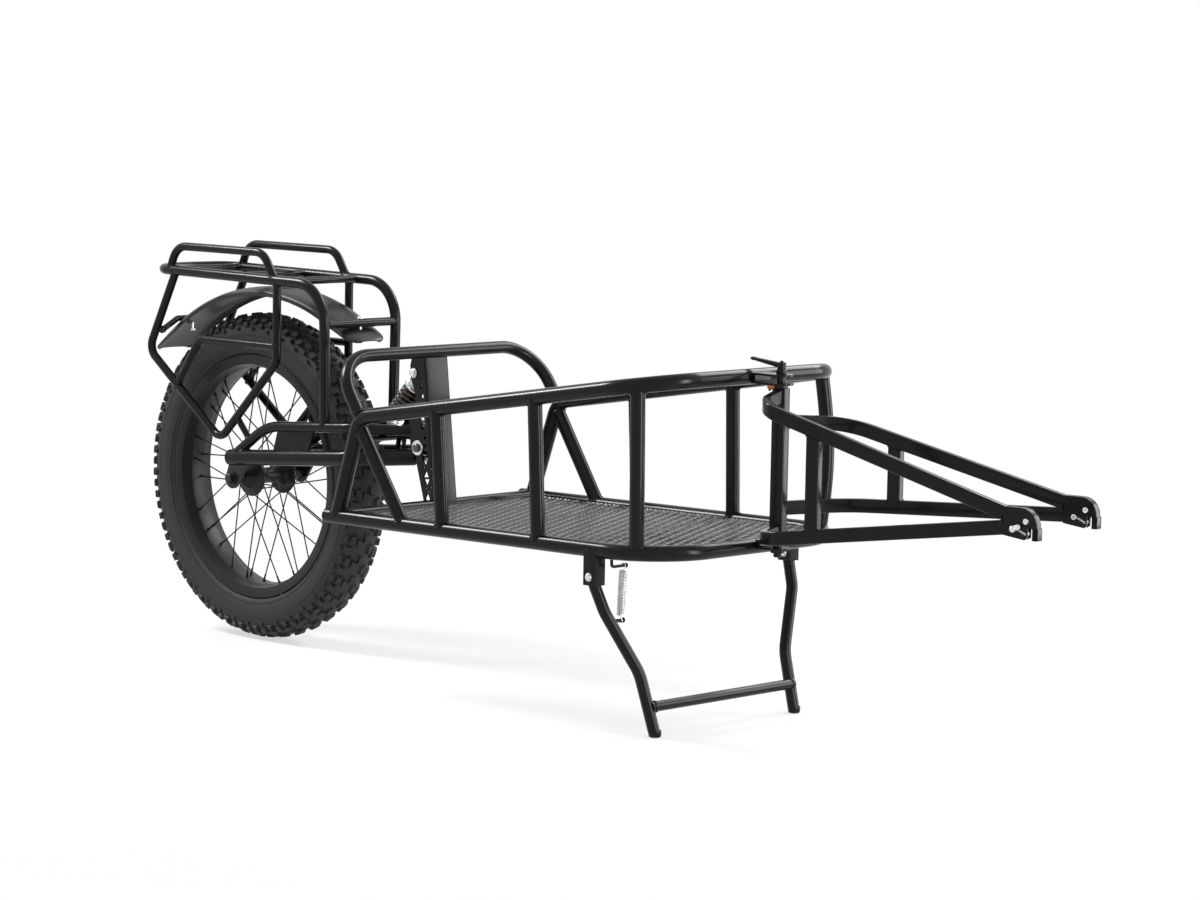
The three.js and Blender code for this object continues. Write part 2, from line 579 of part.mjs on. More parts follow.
// Pivot tube with the drilled web that ties the fork's two levels together
function pivotTube() {
  const half = MAST.half - MAST.wall - PIVOT.inset;
  const hole = PIVOT.bolt + FIT.bore;
  const barrel = turned(ring(PIVOT.tube, hole, -half, half), PIVOT_SEGMENTS, PIVOT.x, PIVOT.z);
  const [foot, top] = [SWING.frontZ - SWING.lowerRadius / 2, SWING.upperFrontZ];
  const shape = outline([[WEB.rear, foot], [PIVOT.x, foot], [PIVOT.x, top], [WEB.rear, top]]);
  const web = sidePlate(shape, 0, WEB.thick);
  const tools = [turned(disc(hole, -half, half), PIVOT_SEGMENTS, PIVOT.x, PIVOT.z)];
  for (let i = 0; i < WEB.holes; i++) {
    const x = PIVOT.x - PIVOT.tube - WEB.first - WEB.pitch * i;
    tools.push(sidePlate(outline([
      [x - WEB.holeTop / 2, PIVOT.z - WEB.holeHigh / 2],
      [x + WEB.holeTop / 2, PIVOT.z - WEB.holeHigh / 2],
      [x + WEB.holeFoot / 2, PIVOT.z + WEB.holeHigh / 2],
      [x - WEB.holeFoot / 2, PIVOT.z + WEB.holeHigh / 2],
    ]), 0, WEB.thick * 2));
  }
  piece('pivot_tube', cut(join([barrel, web]), tools), BLACK);
}

// Cross tube between the fork's upper tubes, with two cheeks and a pin for the shock's lower eye
function carrierRoute() {
  return [at(SHOCK.footX, -SWING.half, carrierZ()), at(SHOCK.footX, SWING.half, carrierZ())];
}

function carrierZ() {
  return SHOCK.footZ - CARRIER.cheekHigh - CARRIER.radius / 2;
}

function shockCarrier() {
  const bar = tube(carrierRoute(), CARRIER.radius, TUBE_SIDES, UP);
  const reach = SHOCK.eyeLength / 2 + FIT.bore;
  const cheeks = [RIGHT, LEFT].map((side) => sidePlate(outline([
    [SHOCK.footX - CARRIER.radius, carrierZ()],
    [SHOCK.footX + CARRIER.radius, carrierZ()],
    [SHOCK.footX + CARRIER.lug, SHOCK.footZ + CARRIER.lug],
    [SHOCK.footX - CARRIER.lug, SHOCK.footZ + CARRIER.lug],
  ]), side * (reach + CARRIER.cheek / 2), CARRIER.cheek));
  const outer = reach + CARRIER.cheek;
  const pin = turned(disc(SHOCK.bolt, -outer, outer), BOLT_SEGMENTS, SHOCK.footX, SHOCK.footZ);
  const trimmed = cut(bar, [...upperForkEnvelopes, ...lowerForkEnvelopes]);
  const eyeRoom = turned(disc(SHOCK.eye + FIT.bore, -reach, reach), EYE_SEGMENTS, SHOCK.footX, SHOCK.footZ);
  piece('shock_carrier', join([cut(trimmed, [eyeRoom]), ...cheeks, pin]), BLACK);
}

function dropoutPlate(side, grow = 0) {
  const shape = new THREE.Shape();
  const top = SWING.rearZ + grow;
  shape.moveTo(DROPOUT.topRear - grow, top);
  shape.lineTo(-DROPOUT.boss - grow, TYRE_AXIS);
  shape.absarc(0, TYRE_AXIS, DROPOUT.boss + grow, Math.PI, THREE.MathUtils.degToRad(DROPOUT.arcEnd), false);
  shape.lineTo(DROPOUT.topFront + grow, top);
  return sidePlate(shape, side * SWING.half, DROPOUT.thick + grow * 2);
}

const TYRE_AXIS = TYRE.radius + TYRE.knob;

function dropouts() {
  const across = SWING.half * 2;
  const hole = turned(disc(AXLE.radius + FIT.gap, -across, across), BOLT_SEGMENTS, 0, TYRE_AXIS);
  for (const [name, side] of SIDES) {
    piece(`dropout_plate_${name}`, cut(dropoutPlate(side), [hole]), BLACK);
  }
  const nut = throughBolt(AXLE.radius, AXLE.washer, AXLE.washerWall, AXLE.nut, AXLE.nutLength,
    SWING.half + DROPOUT.thick / 2);
  piece('axle', turned(nut, BOLT_SEGMENTS, 0, TYRE_AXIS), BLACK);
}

// Wheel

function hubWithSpokes() {
  const { barrel, flange, flangeAt, flangeWall, end, endAt, hole, holes } = HUB;
  const inner = flangeAt - flangeWall;
  const profile = [[hole, -endAt], [end, -endAt], [end, -flangeAt], [flange, -flangeAt], [flange, -inner],
    [barrel, -inner], [barrel, inner], [flange, inner], [flange, flangeAt], [end, flangeAt], [end, endAt],
    [hole, endAt], [hole, -endAt]];
  const bodies = [turned(profile, HUB_SEGMENTS, 0, TYRE_AXIS)];
  const rimFace = RIM.well * Math.cos(Math.PI / WHEEL_SEGMENTS) - SPOKE.radius / 2;
  const step = Math.PI / SPOKE.pairs;
  for (const side of [RIGHT, LEFT]) {
    for (let i = 0; i < SPOKE.pairs * 2; i++) {
      const turn = i % 2 === 0 ? 1 : -1;
      const from = step * i + (side === LEFT ? step / 2 : 0);
      const to = from + step * SPOKE.lead * turn;
      const shift = SPOKE.apart * turn;
      const y = side * (flangeAt - flangeWall / 2 + shift);
      const root = at(holes * Math.cos(from), y, TYRE_AXIS + holes * Math.sin(from));
      const rimY = side * (SPOKE.rimShift + shift);
      const tip = at(rimFace * Math.cos(to), rimY, TYRE_AXIS + rimFace * Math.sin(to));
      bodies.push(rod(root, tip, SPOKE.radius, SPOKE_SIDES));
    }
  }
  piece('hub_and_spokes', join(bodies), BLACK);
}

function rim() {
  const { lip, eye, halfWidth, well, wellHalf, wall } = RIM;
  const profile = [[lip, -halfWidth], [eye, -halfWidth], [well, -wellHalf], [well, wellHalf], [eye, halfWidth],
    [lip, halfWidth], [lip, halfWidth - wall], [eye + wall, halfWidth - wall], [well + wall, wellHalf],
    [well + wall, -wellHalf], [eye + wall, wall - halfWidth], [lip, wall - halfWidth], [lip, -halfWidth]];
  const hole = rod(at(0, 0, TYRE_AXIS + HUB.flange), at(0, 0, TYRE_AXIS + lip), VALVE.radius + FIT.gap);
  piece('rim', cut(turned(profile, WHEEL_SEGMENTS, 0, TYRE_AXIS), [hole]), BLACK);
}

function tyreProfile() {
  const { radius, halfWidth, bead, beadHalf, wall } = TYRE;
  const lip = (RIM.lip + FIT.gap * 2 - bead) / (radius - bead);
  const place = ([share, y]) => [mix(bead, radius, share), y];
  const wide = ([share, halfShare]) => [share, halfWidth * halfShare];
  const outer = [[0, beadHalf], [lip, beadHalf], [lip * TYRE_SHARES.lip, RIM.halfWidth],
    ...TYRE_SHARES.outer.map(wide), [1, 0]].map(place);
  const inner = [[0, beadHalf - wall], ...TYRE_SHARES.inner.map(wide)].map(place);
  const mirrored = (points) => points.map(([r, y]) => [r, -y]);
  return [...mirrored(outer), ...outer.slice(0, -1).reverse(), ...inner, [radius - wall, 0],
    ...mirrored(inner).reverse(), [bead, -beadHalf]];
}

function tyre() {
  const bodies = [turned(tyreProfile(), WHEEL_SEGMENTS, 0, TYRE_AXIS)];
  const tall = TYRE.knob + TYRE.knobRoot;
  const rows = [
    [TYRE.innerRow, 0],
    [TYRE.outerRow, TYRE.outerDrop],
    [-TYRE.innerRow, 0],
    [-TYRE.outerRow, TYRE.outerDrop],
  ];
  rows.forEach(([y, drop], row) => {
    for (let i = 0; i < TYRE.blocks; i++) {
      const geometry = new THREE.BoxGeometry(TYRE.knobLength, TYRE.knobWidth, tall);
      geometry.translate(0, y, TYRE.radius - drop - TYRE.knobRoot + tall / 2);
      geometry.rotateY(Math.PI * 2 * (i + row / rows.length) / TYRE.blocks);
      geometry.translate(0, 0, TYRE_AXIS);
      bodies.push(solid(geometry));
    }
  });
  piece('tyre', join(bodies), RUBBER);
}

function valve() {
  const top = TYRE_AXIS + RIM.well + RIM.wall - FIT.gap;
  const foot = top - VALVE.length;
  const stem = rod(at(0, 0, foot), at(0, 0, top), VALVE.radius);
  const cap = rod(at(0, 0, foot), at(0, 0, foot + VALVE.capLength), VALVE.capRadius);
  piece('valve', join([stem, cap]), RUBBER);
}

// Shock absorber

const shockTop = at(SHOCK.topX, 0, SHOCK.topZ);
const shockFoot = at(SHOCK.footX, 0, SHOCK.footZ);
const shockAxis = shockFoot.clone().sub(shockTop).normalize();
const shockLength = shockTop.distanceTo(shockFoot);

// One unbroken tube through curls about an axis, with straight ends that meet what they press on
function coil({ curls, radius, wire, steps, neck }, length) {
  const stations = [];
  const inner = neck > 0 ? wire * 2 : radius;
  const straight = wire * 2;
  const rise = length - (neck + straight) * 2;
  const count = curls * steps;
  for (let i = 0; i <= count; i++) {
    const angle = Math.PI * 2 * i / steps;
    const around = mix(inner, radius, Math.min(1, i / steps * 2, (count - i) / steps * 2));
    stations.push(at(around * Math.cos(angle), neck + straight + rise * i / count, around * Math.sin(angle)));
  }
  const [first, last] = [stations[0], stations[count]];
  const hub = neck > 0 ? 0 : 1;
  stations.unshift(at(first.x * hub, straight, first.z * hub));
  stations.unshift(at(first.x * hub, 0, first.z * hub));
  stations.push(at(last.x * hub, length - straight, last.z * hub));
  stations.push(at(last.x * hub, length, last.z * hub));
  return stations.filter((station, i) => i === 0 || station.distanceTo(stations[i - 1]) > FIT.gap);
}

// The least gap between the wire and itself, measured between stations more than a half curl apart
function leastGap(stations, wire, steps) {
  let least = Infinity;
  for (let i = 0; i < stations.length; i++) {
    for (let j = i + Math.ceil(steps / 2) + 1; j < stations.length; j++) {
      least = Math.min(least, stations[i].distanceTo(stations[j]) - wire * 2);
    }
  }
  return least;
}

function coilSolid(stations, wire, sides, place, direction) {
  const turn = new THREE.Quaternion().setFromUnitVectors(ACROSS, direction);
  const placed = stations.map((station) => station.clone().applyQuaternion(turn).add(place));
  const path = new StationPath(placed, null);
  const steps = placed.length - 1;
  return solid(new THREE.ExtrudeGeometry(polygon(wire, sides), { steps, extrudePath: path }));
}

function shock() {
  const { eye, eyeLength, neck, body, bodyLength, hole, cap, capFrom, capTo, seat, seatWall, topSeatAt,
    footSeatAt } = SHOCK;
  const boltBore = SHOCK.bolt + FIT.bore;
  const eyeRing = (x, z) => turned(ring(eye, boltBore, -eyeLength / 2, eyeLength / 2), EYE_SEGMENTS, x, z);
  const eyeBore = (x, z) => turned(disc(boltBore, -eyeLength, eyeLength), EYE_SEGMENTS, x, z);
  const upper = turnedAlong([[0, neck], [body, neck], [body, capFrom], [cap, capFrom], [cap, capTo],
    [body, capTo], [body, topSeatAt - seatWall], [seat, topSeatAt - seatWall], [seat, topSeatAt],
    [body, topSeatAt], [body, bodyLength], [hole, bodyLength], [hole, topSeatAt], [0, topSeatAt]],
  EYE_SEGMENTS, shockTop, shockAxis);
  const wholeUpper = join([eyeRing(SHOCK.topX, SHOCK.topZ), upper]);
  piece('shock_body', cut(wholeUpper, [eyeBore(SHOCK.topX, SHOCK.topZ)]), STEEL);
  const back = shockAxis.clone().negate();
  const rodLength = shockLength - topSeatAt - SHOCK.rodInset;
  const collar = SHOCK.rod * 2;
  const lower = turnedAlong([[0, neck], [collar, neck], [collar, footSeatAt - seatWall],
    [seat, footSeatAt - seatWall], [seat, footSeatAt], [SHOCK.rod, footSeatAt], [SHOCK.rod, rodLength],
    [0, rodLength]], EYE_SEGMENTS, shockFoot, back);
  const wholeLower = join([eyeRing(SHOCK.footX, SHOCK.footZ), lower]);
  piece('shock_shaft', cut(wholeLower, [eyeBore(SHOCK.footX, SHOCK.footZ)]), STEEL);
  const length = shockLength - topSeatAt - footSeatAt - FIT.gap * 2;
  const stations = coil(COIL, length);
  console.log('shock spring least gap to itself, mm:', leastGap(stations, COIL.wire, COIL.steps).toFixed(2));
  const start = shockTop.clone().addScaledVector(shockAxis, topSeatAt + FIT.gap);
  piece('shock_spring', coilSolid(stations, COIL.wire, COIL.sides, start, shockAxis), SPRING);
}

// Rack over the wheel

const rackZ = (x) => mix(RACK.rearZ, RACK.frontZ, shareOf(x, RACK.rearX, RACK.frontX));

function rackRoute() {
  const corner = (side) => at(RACK.rearX, side * RACK.half, RACK.rearZ);
  return rounded([
    at(RACK.frontX, RIGHT * RACK.footHalf, RACK.footZ),
    at(RACK.frontX, RIGHT * RACK.half, RACK.frontZ),
    corner(RIGHT),
    at(RACK.rearX - RACK.bow, 0, RACK.rearZ),
    corner(LEFT),
    at(RACK.frontX, LEFT * RACK.half, RACK.frontZ),
    at(RACK.frontX, LEFT * RACK.footHalf, RACK.footZ),
  ], [RACK.bend, RACK.corner, RACK.bowBend, RACK.corner, RACK.bend]);
}

const rackEnvelope = envelope(rackRoute(), RACK.radius, TUBE_SIDES, LEAN_FORWARD);

function rackBars(grow) {
  return [RACK_BAR.rearX, RACK_BAR.middleX, RACK_BAR.frontX].map((x) => (
    rod(at(x, -RACK.half, rackZ(x)), at(x, RACK.half, rackZ(x)), RACK_BAR.radius + grow)));
}

function rack() {
  const loop = tube(rackRoute(), RACK.radius, TUBE_SIDES, LEAN_FORWARD);
  piece('rack', cut(join([loop, ...rackBars(0)]), upperForkEnvelopes), BLACK);
  const { crossZ, crossRadius } = RACK_BAR;
  const crossbar = rod(at(RACK.frontX, -RACK.half, crossZ), at(RACK.frontX, RACK.half, crossZ), crossRadius);
  piece('rack_crossbar', cut(crossbar, [rackEnvelope, fenderBoltRoom(RACK.frontX)]), BLACK);
}

// Bore for one of the fender's upright bolts
function fenderBoltRoom(x) {
  return rod(at(x, 0, FENDER.z), at(x, 0, RACK.rearZ), bore(FENDER_BOLT.radius, FIT.gap, SMALL_SIDES));
}

function pannierRoute(side) {
  const y = side * RACK.half;
  return rounded([
    at(PANNIER.topRear, y, rackZ(PANNIER.topRear)),
    at(PANNIER.rearX, y, PANNIER.rearZ),
    at(PANNIER.lowX, y, PANNIER.lowZ),
    at(PANNIER.frontX, y, PANNIER.frontZ),
    at(PANNIER.frontX, y, rackZ(PANNIER.frontX)),
  ], PANNIER.bend);
}

function sideHoopRoute(side) {
  const y = side * RACK.half;
  const top = RACK.rearZ + SIDE_HOOP.rise;
  return rounded([
    at(SIDE_HOOP.rearFoot, y, rackZ(SIDE_HOOP.rearFoot)),
    at(SIDE_HOOP.rearTop, y, top),
    at(SIDE_HOOP.frontTop, y, top),
    at(SIDE_HOOP.frontFoot, y, rackZ(SIDE_HOOP.frontFoot)),
  ], SIDE_HOOP.bend);
}

function rackSides() {
  SIDES.forEach(([name, side], index) => {
    const y = side * RACK.half;
    const hoop = tube(sideHoopRoute(side), SIDE_HOOP.radius, TUBE_SIDES, ACROSS);
    piece(`side_hoop_${name}`, cut(hoop, [rackEnvelope, ...rackBars(FIT.gap)]), BLACK);
    const loop = tube(pannierRoute(side), PANNIER.radius, TUBE_SIDES, ACROSS);
    const bar = tube(rounded([
      at(PANNIER.frontX, y, PANNIER.barZ),
      at(PANNIER.barElbow, y, PANNIER.barZ),
      at(PANNIER.barFoot, y, PANNIER.barFootZ),
    ], PANNIER.bend), PANNIER.barRadius, SMALL_SIDES, ACROSS);
    const strut = rod(at(PANNIER.strutTopX, y, PANNIER.strutTopZ),
      at(PANNIER.strutFootX, side * SWING.half, PANNIER.strutFootZ), PANNIER.strutRadius);
    const stayRoom = envelope(stayRoute(), STAY.radius, SMALL_SIDES, FORWARD);
    const whole = cut(join([loop, bar, strut]), [rackEnvelope, upperForkEnvelopes[index], stayRoom]);
    piece(`pannier_frame_${name}`, whole, BLACK);
  });
}

// Fender and what holds it

function fenderSection(grow) {
  const { skirt, crown, roll, flat } = FENDER;
  const half = FENDER.half + grow;
  const right = [[-half, -crown - skirt], [-half, -crown - roll / 2],
    [roll / 2 - FENDER.half, grow - crown / 2], [-flat, grow]];
  return [...right, ...right.map(([y, z]) => [-y, z]).reverse()];
}

function fender() {
  const shell = [...fenderSection(0), ...fenderSection(-FENDER.thick).reverse()];
  const stations = [];
  for (let i = 0; i <= FENDER.steps; i++) {
    const angle = THREE.MathUtils.degToRad(mix(FENDER.frontAngle, FENDER.rearAngle, i / FENDER.steps));
    const radial = at(Math.cos(angle), 0, Math.sin(angle));
    stations.push(at(FENDER.x, 0, FENDER.z).addScaledVector(radial, FENDER.radius));
  }
  const path = new StationPath(stations, UP);
  path.computeFrenetFrames = (steps) => {
    const frames = { tangents: [], normals: [], binormals: [] };
    for (let i = 0; i <= steps; i++) {
      frames.tangents.push(path.tangentOf(i));
      frames.normals.push(ACROSS.clone());
      frames.binormals.push(new THREE.Vector3().crossVectors(ACROSS, path.tangentOf(i)));
    }
    return frames;
  };
  const geometry = new THREE.ExtrudeGeometry(outline(shell), { steps: FENDER.steps, extrudePath: path });
  piece('fender', cut(solid(geometry), [RACK.frontX, STAY.x].map(fenderBoltRoom)), PLASTIC);
}

function crownZ(x, grow = 0) {
  return FENDER.z + Math.sqrt((FENDER.radius + grow) ** 2 - (x - FENDER.x) ** 2);
}

function stayRoute() {
  const z = crownZ(STAY.x, STAY.radius + FIT.gap * 2);
  return rounded([
    at(STAY.footX, RIGHT * RACK.half, STAY.footZ),
    at(STAY.x, RIGHT * STAY.half, z),
    at(STAY.x, LEFT * STAY.half, z),
    at(STAY.footX, LEFT * RACK.half, STAY.footZ),
  ], STAY.bend);
}

function fenderMounts() {
  const stay = tube(stayRoute(), STAY.radius, SMALL_SIDES, FORWARD);
  piece('fender_stay', cut(stay, [fenderBoltRoom(STAY.x)]), BLACK);
  const mounts = [
    ['front', RACK.frontX, RACK_BAR.crossZ + RACK_BAR.crossRadius],
    ['rear', STAY.x, stayRoute()[Math.floor(stayRoute().length / 2)].z + STAY.radius],
  ];
  for (const [name, x, top] of mounts) {
    const { radius, head, headWall, nutWall, dome } = FENDER_BOLT;
    const under = crownZ(x + Math.sign(x) * head) - FENDER.thick - head;
    const profile = [[0, under - nutWall], [head, under - nutWall], [head, under], [radius, under],
      [radius, top + FIT.gap], [head, top + FIT.gap], [dome, top + headWall], [0, top + headWall]];
    piece(`fender_bolt_${name}`, turnedAlong(profile, SMALL_SIDES, at(x, 0, 0), UP), STEEL);
  }
}

// Kingpin and its brackets

function kingBrackets() {
  const brackets = [
    ['upper', KING_BRACKET.upperTop, KING_BRACKET.upperFoot, UPPER.frontX, upperEnvelope],
    ['lower', KING_BRACKET.lowerTop, KING_BRACKET.lowerFoot, LOWER.frontX, lowerEnvelope],
  ];
  for (const [name, top, foot, rootX, rail] of brackets) {
    const front = KINGPIN.x + KING_BRACKET.nose;
    const webX = rootX + UPPER.radius + KING_BRACKET.plate * 2;
    const profile = outline([[rootX, foot], [front, foot], [front, foot + KING_BRACKET.plate],
      [webX, foot + KING_BRACKET.plate], [webX, top - KING_BRACKET.plate], [front, top - KING_BRACKET.plate],
      [front, top], [rootX, top]]);
    const hole = turnedAlong(disc(bore(KINGPIN.radius, FIT.bore, BOLT_SEGMENTS), foot - FIT.overrun,
      top + FIT.overrun), BOLT_SEGMENTS, at(KINGPIN.x, 0, 0), UP);
    const nose = cornerCut(front, top, foot);
    piece(`king_bracket_${name}`, cut(sidePlate(profile, 0, KING_BRACKET.width), [rail, hole, ...nose]), BLACK);
  }
}

// Chamfers that narrow a bracket's nose
function cornerCut(front, top, foot) {
  const reach = KING_BRACKET.nose;
  return [RIGHT, LEFT].map((side) => {
    const edge = side * (KING_BRACKET.width / 2 + FIT.overrun);
    const shape = outline([[front - reach, edge], [front + FIT.overrun, edge],
      [front + FIT.overrun, edge - side * (reach / 2 + FIT.overrun * 2)]]);
    const depth = top - foot + FIT.overrun * 2;
    const geometry = new THREE.ExtrudeGeometry(shape, { depth, bevelEnabled: false });
    geometry.translate(0, 0, foot - FIT.overrun);
    return solid(geometry);
  });
}

function kingpin(steering) {
  const { radius, top, foot, collar, collarWall, nut, nutWall } = KINGPIN;
  const [seat, under] = [KING_BRACKET.upperTop + FIT.gap, KING_BRACKET.lowerFoot - FIT.gap];
  const profile = [[0, foot], [nut, foot], [nut, foot + nutWall], [radius, foot + nutWall], [radius, seat],
    [collar, seat], [collar, seat + collarWall], [radius, seat + collarWall], [radius, top - LEVER.hubHigh],
    [LEVER.hub, top - LEVER.hubHigh], [LEVER.hub, top], [0, top]];
  if (foot + nutWall > under) throw new Error('the nut must stay below the lower bracket');
  const pin = turnedAlong(profile, BOLT_SEGMENTS, at(KINGPIN.x, 0, 0), UP);
  const handle = sweep(rectangle(LEVER.width, LEVER.thick), [
    at(KINGPIN.x, 0, top - LEVER.hubHigh / 2),
    at(KINGPIN.x - LEVER.length, 0, top - LEVER.hubHigh / 2 + LEVER.rise),
  ], UP);
  piece('kingpin_lever', join([pin, handle]), BLACK);
  const washer = turnedAlong(ring(BUSHING.radius, radius + FIT.bore, HEAD.top + FIT.gap,
    KING_BRACKET.upperFoot - FIT.gap), PIVOT_SEGMENTS, at(0, 0, 0), UP);
  piece('kingpin_bushing', washer, BRASS, steering);
}

const headFoot = KING_BRACKET.lowerTop + FIT.gap;

// Steering yoke, drawn straight ahead and turned as one group about the kingpin

function armRoute(side, arm, rootZ, elbowZ, tipZ) {
  return rounded([
    at(0, 0, rootZ),
    at(arm.elbowX, side * YOKE.half, elbowZ),
    at(YOKE.tipX, side * YOKE.half, tipZ),
  ], arm.bend);
}

function yoke(steering) {
  const high = HEAD.top - headFoot;
  const middle = headFoot + high / 2;
  const hole = turnedAlong(disc(HEAD.hole, headFoot - FIT.overrun, HEAD.top + FIT.overrun), PIVOT_SEGMENTS,
    at(0, 0, 0), UP);
  piece('head_tube', cut(block(HEAD.long, HEAD.wide, high, 0, 0, middle), [hole]), BLACK, steering);
  const room = block(HEAD.long + FIT.gap * 2, HEAD.wide + FIT.gap * 2, high * 2, 0, 0, middle);
  const section = rectangle(YOKE.wide, YOKE.high);
  for (const [name, side] of SIDES) {
    const arm = YOKE_ARMS[name];
    const upper = sweep(section, armRoute(side, arm, arm.rootTop, arm.elbowTop, YOKE.tipTopZ), UP);
    const lower = sweep(section, armRoute(side, arm, arm.rootLow, arm.elbowLow, YOKE.tipLowZ), UP);
    const share = shareOf(arm.strutX, arm.elbowX, YOKE.tipX);
    const strut = sweep(rectangle(YOKE.strutWide, YOKE.strutLong), [
      at(arm.strutX, side * YOKE.half, mix(arm.elbowLow, YOKE.tipLowZ, share)),
      at(arm.strutX, side * YOKE.half, mix(arm.elbowTop, YOKE.tipTopZ, share)),
    ], FORWARD);
    const whole = cut(join([upper, lower, strut]), [room, hitchPlate(side, FIT.gap)]);
    piece(`yoke_arm_${name}`, whole, BLACK, steering);
  }
}

// Slotted hook plate that drops over the bicycle's axle
function hitchOutline(grow) {
  const { rearX, frontX, top, high, arc } = HITCH;
  const shape = new THREE.Shape();
  shape.moveTo(rearX - grow, top - high - grow);
  shape.lineTo(frontX + grow, top - high - grow);
  shape.lineTo(frontX + grow, top - arc);
  shape.absarc(frontX - arc, top - arc, arc + grow, 0, Math.PI / 2, false);
  shape.lineTo(rearX - grow, top + grow);
  return shape;
}

function hitchPlate(side, grow) {
  return sidePlate(hitchOutline(grow), side * YOKE.half, YOKE.wide * 2);
}

function latchLine() {
  return [at(LATCH.rearX, 0, LATCH.rearZ), at(LATCH.tipX, 0, LATCH.tipZ)];
}

function hitches(steering) {
  const { rearX, frontX, top, high, slotX, slot, slotHigh, arc, plate, rim, boltX, boltZ, bolt,
    boltWall } = HITCH;
  const foot = top - high;
  const below = foot - FIT.overrun;
  for (const [name, side] of SIDES) {
    const y = side * YOKE.half;
    const recess = new THREE.Shape();
    recess.moveTo(rearX - FIT.overrun, below);
    recess.lineTo(frontX - rim, below);
    recess.lineTo(frontX - rim, top - arc);
    recess.absarc(frontX - arc, top - arc, arc - rim, 0, Math.PI / 2, false);
    recess.lineTo(rearX - FIT.overrun, top - rim);
    const slotEnd = foot + slotHigh - slot / 2;
    const axleSlot = new THREE.Shape();
    axleSlot.moveTo(slotX - slot / 2, below);
    axleSlot.lineTo(slotX + slot / 2, below);
    axleSlot.lineTo(slotX + slot / 2, slotEnd);
    axleSlot.absarc(slotX, slotEnd, slot / 2, 0, Math.PI, false);
    const [notchFrom, notchTo] = [rearX + HITCH.notchFrom, slotX - slot / 2 - FIT.overrun];
    const notch = outline([[notchTo, below], [notchTo, foot + HITCH.notch], [notchFrom, foot + HITCH.notch],
      [notchFrom, below]]);
    const [from, to] = latchLine();
    const along = to.clone().sub(from).normalize();
    const window = sweep(rectangle(YOKE.wide * 2, LATCH.window), [
      from.clone().addScaledVector(along, -LATCH.knob * 2).add(at(0, y, 0)),
      to.clone().addScaledVector(along, LATCH.knob).add(at(0, y, 0)),
    ], UP);
    const whole = cut(sidePlate(hitchOutline(0), y, YOKE.wide), [
      sidePlate(recess, side * (YOKE.half - plate), YOKE.wide),
      sidePlate(axleSlot, y, YOKE.wide * 2),
      sidePlate(notch, y, YOKE.wide * 2),
      window,
    ]);
    const reach = YOKE.wide / 2 + boltWall;
    const boss = turned(disc(bolt, y - reach, y + reach), BOLT_SEGMENTS, boltX, boltZ);
    piece(`hitch_plate_${name}`, join([whole, boss]), BLACK, steering);
  }
}

function latches(steering) {
  const [from, to] = latchLine();
  const along = to.clone().sub(from).normalize();
  for (const [name, side] of SIDES) {
    const shift = at(0, side * YOKE.half, 0);
    const pin = rod(from.clone().add(shift), to.clone().add(shift), LATCH.radius);
    const outerFace = side * (YOKE.half + YOKE.wide / 2 + LATCH.knobWall);
    const root = from.clone().addScaledVector(along, LATCH.radius);
    const knob = rod(at(root.x, side * YOKE.half, root.z), at(root.x, outerFace, root.z), LATCH.radius);
    const innerFace = outerFace - side * LATCH.knobWall;
    const head = rod(at(root.x, innerFace, root.z), at(root.x, outerFace, root.z), LATCH.knob);
    piece(`latch_pin_${name}`, join([pin, knob, head]), STEEL, steering);
  }
}

// Kickstand, whose legs have rounded ends that turn behind the brackets' front walls

function standLegRoute(side) {
  return rounded([
    at(STAND.x, side * STAND.half, STAND.z + STAND.radius),
    at(STAND.x, side * STAND.half, STAND_BRACKET.foot),
    at(STAND.kneeX, side * STAND.kneeHalf, STAND.kneeZ),
    at(STAND.shinX, side * STAND.shinHalf, STAND.shinZ),
    at(STAND.footX, side * STAND.footHalf, -FIT.overrun),
  ], [STAND.bend / 2, STAND.bend, STAND.bend]);
}

function kickstand() {
  const legs = [RIGHT, LEFT].map((side) => tube(standLegRoute(side), STAND.radius, TUBE_SIDES, FORWARD));
  const half = mix(STAND.footHalf, STAND.shinHalf, shareOf(STAND.barZ, 0, STAND.shinZ));
  const bar = rod(at(STAND.barX, -half, STAND.barZ), at(STAND.barX, half, STAND.barZ), STAND.barRadius);
  const { x, z } = springFoot;
  const pin = rod(at(x, -STAND.kneeHalf, z), at(x, -STAND.pinHalf, z), STAND.pinRadius);
  const across = LOWER.half * 2;
  const ground = block(LOWER.frontX, across, FIT.overrun * 2, LOWER.frontX, 0, -FIT.overrun);
  const hole = disc(bore(STAND.bolt, FIT.bore, TUBE_SIDES), -across, across);
  const holes = turned(hole, TUBE_SIDES, STAND.x, STAND.z);
  const above = block(STAND_BRACKET.size * 2, across * 2, STAND.radius * 2, STAND.x, 0, STAND.z + STAND.radius);
  const roundEnd = turned(disc(STAND.radius, -across, across), EYE_SEGMENTS, STAND.x, STAND.z);
  piece('kickstand', cut(join([...legs, bar, pin]), [ground, holes, cut(above, [roundEnd])]), BLACK);
}

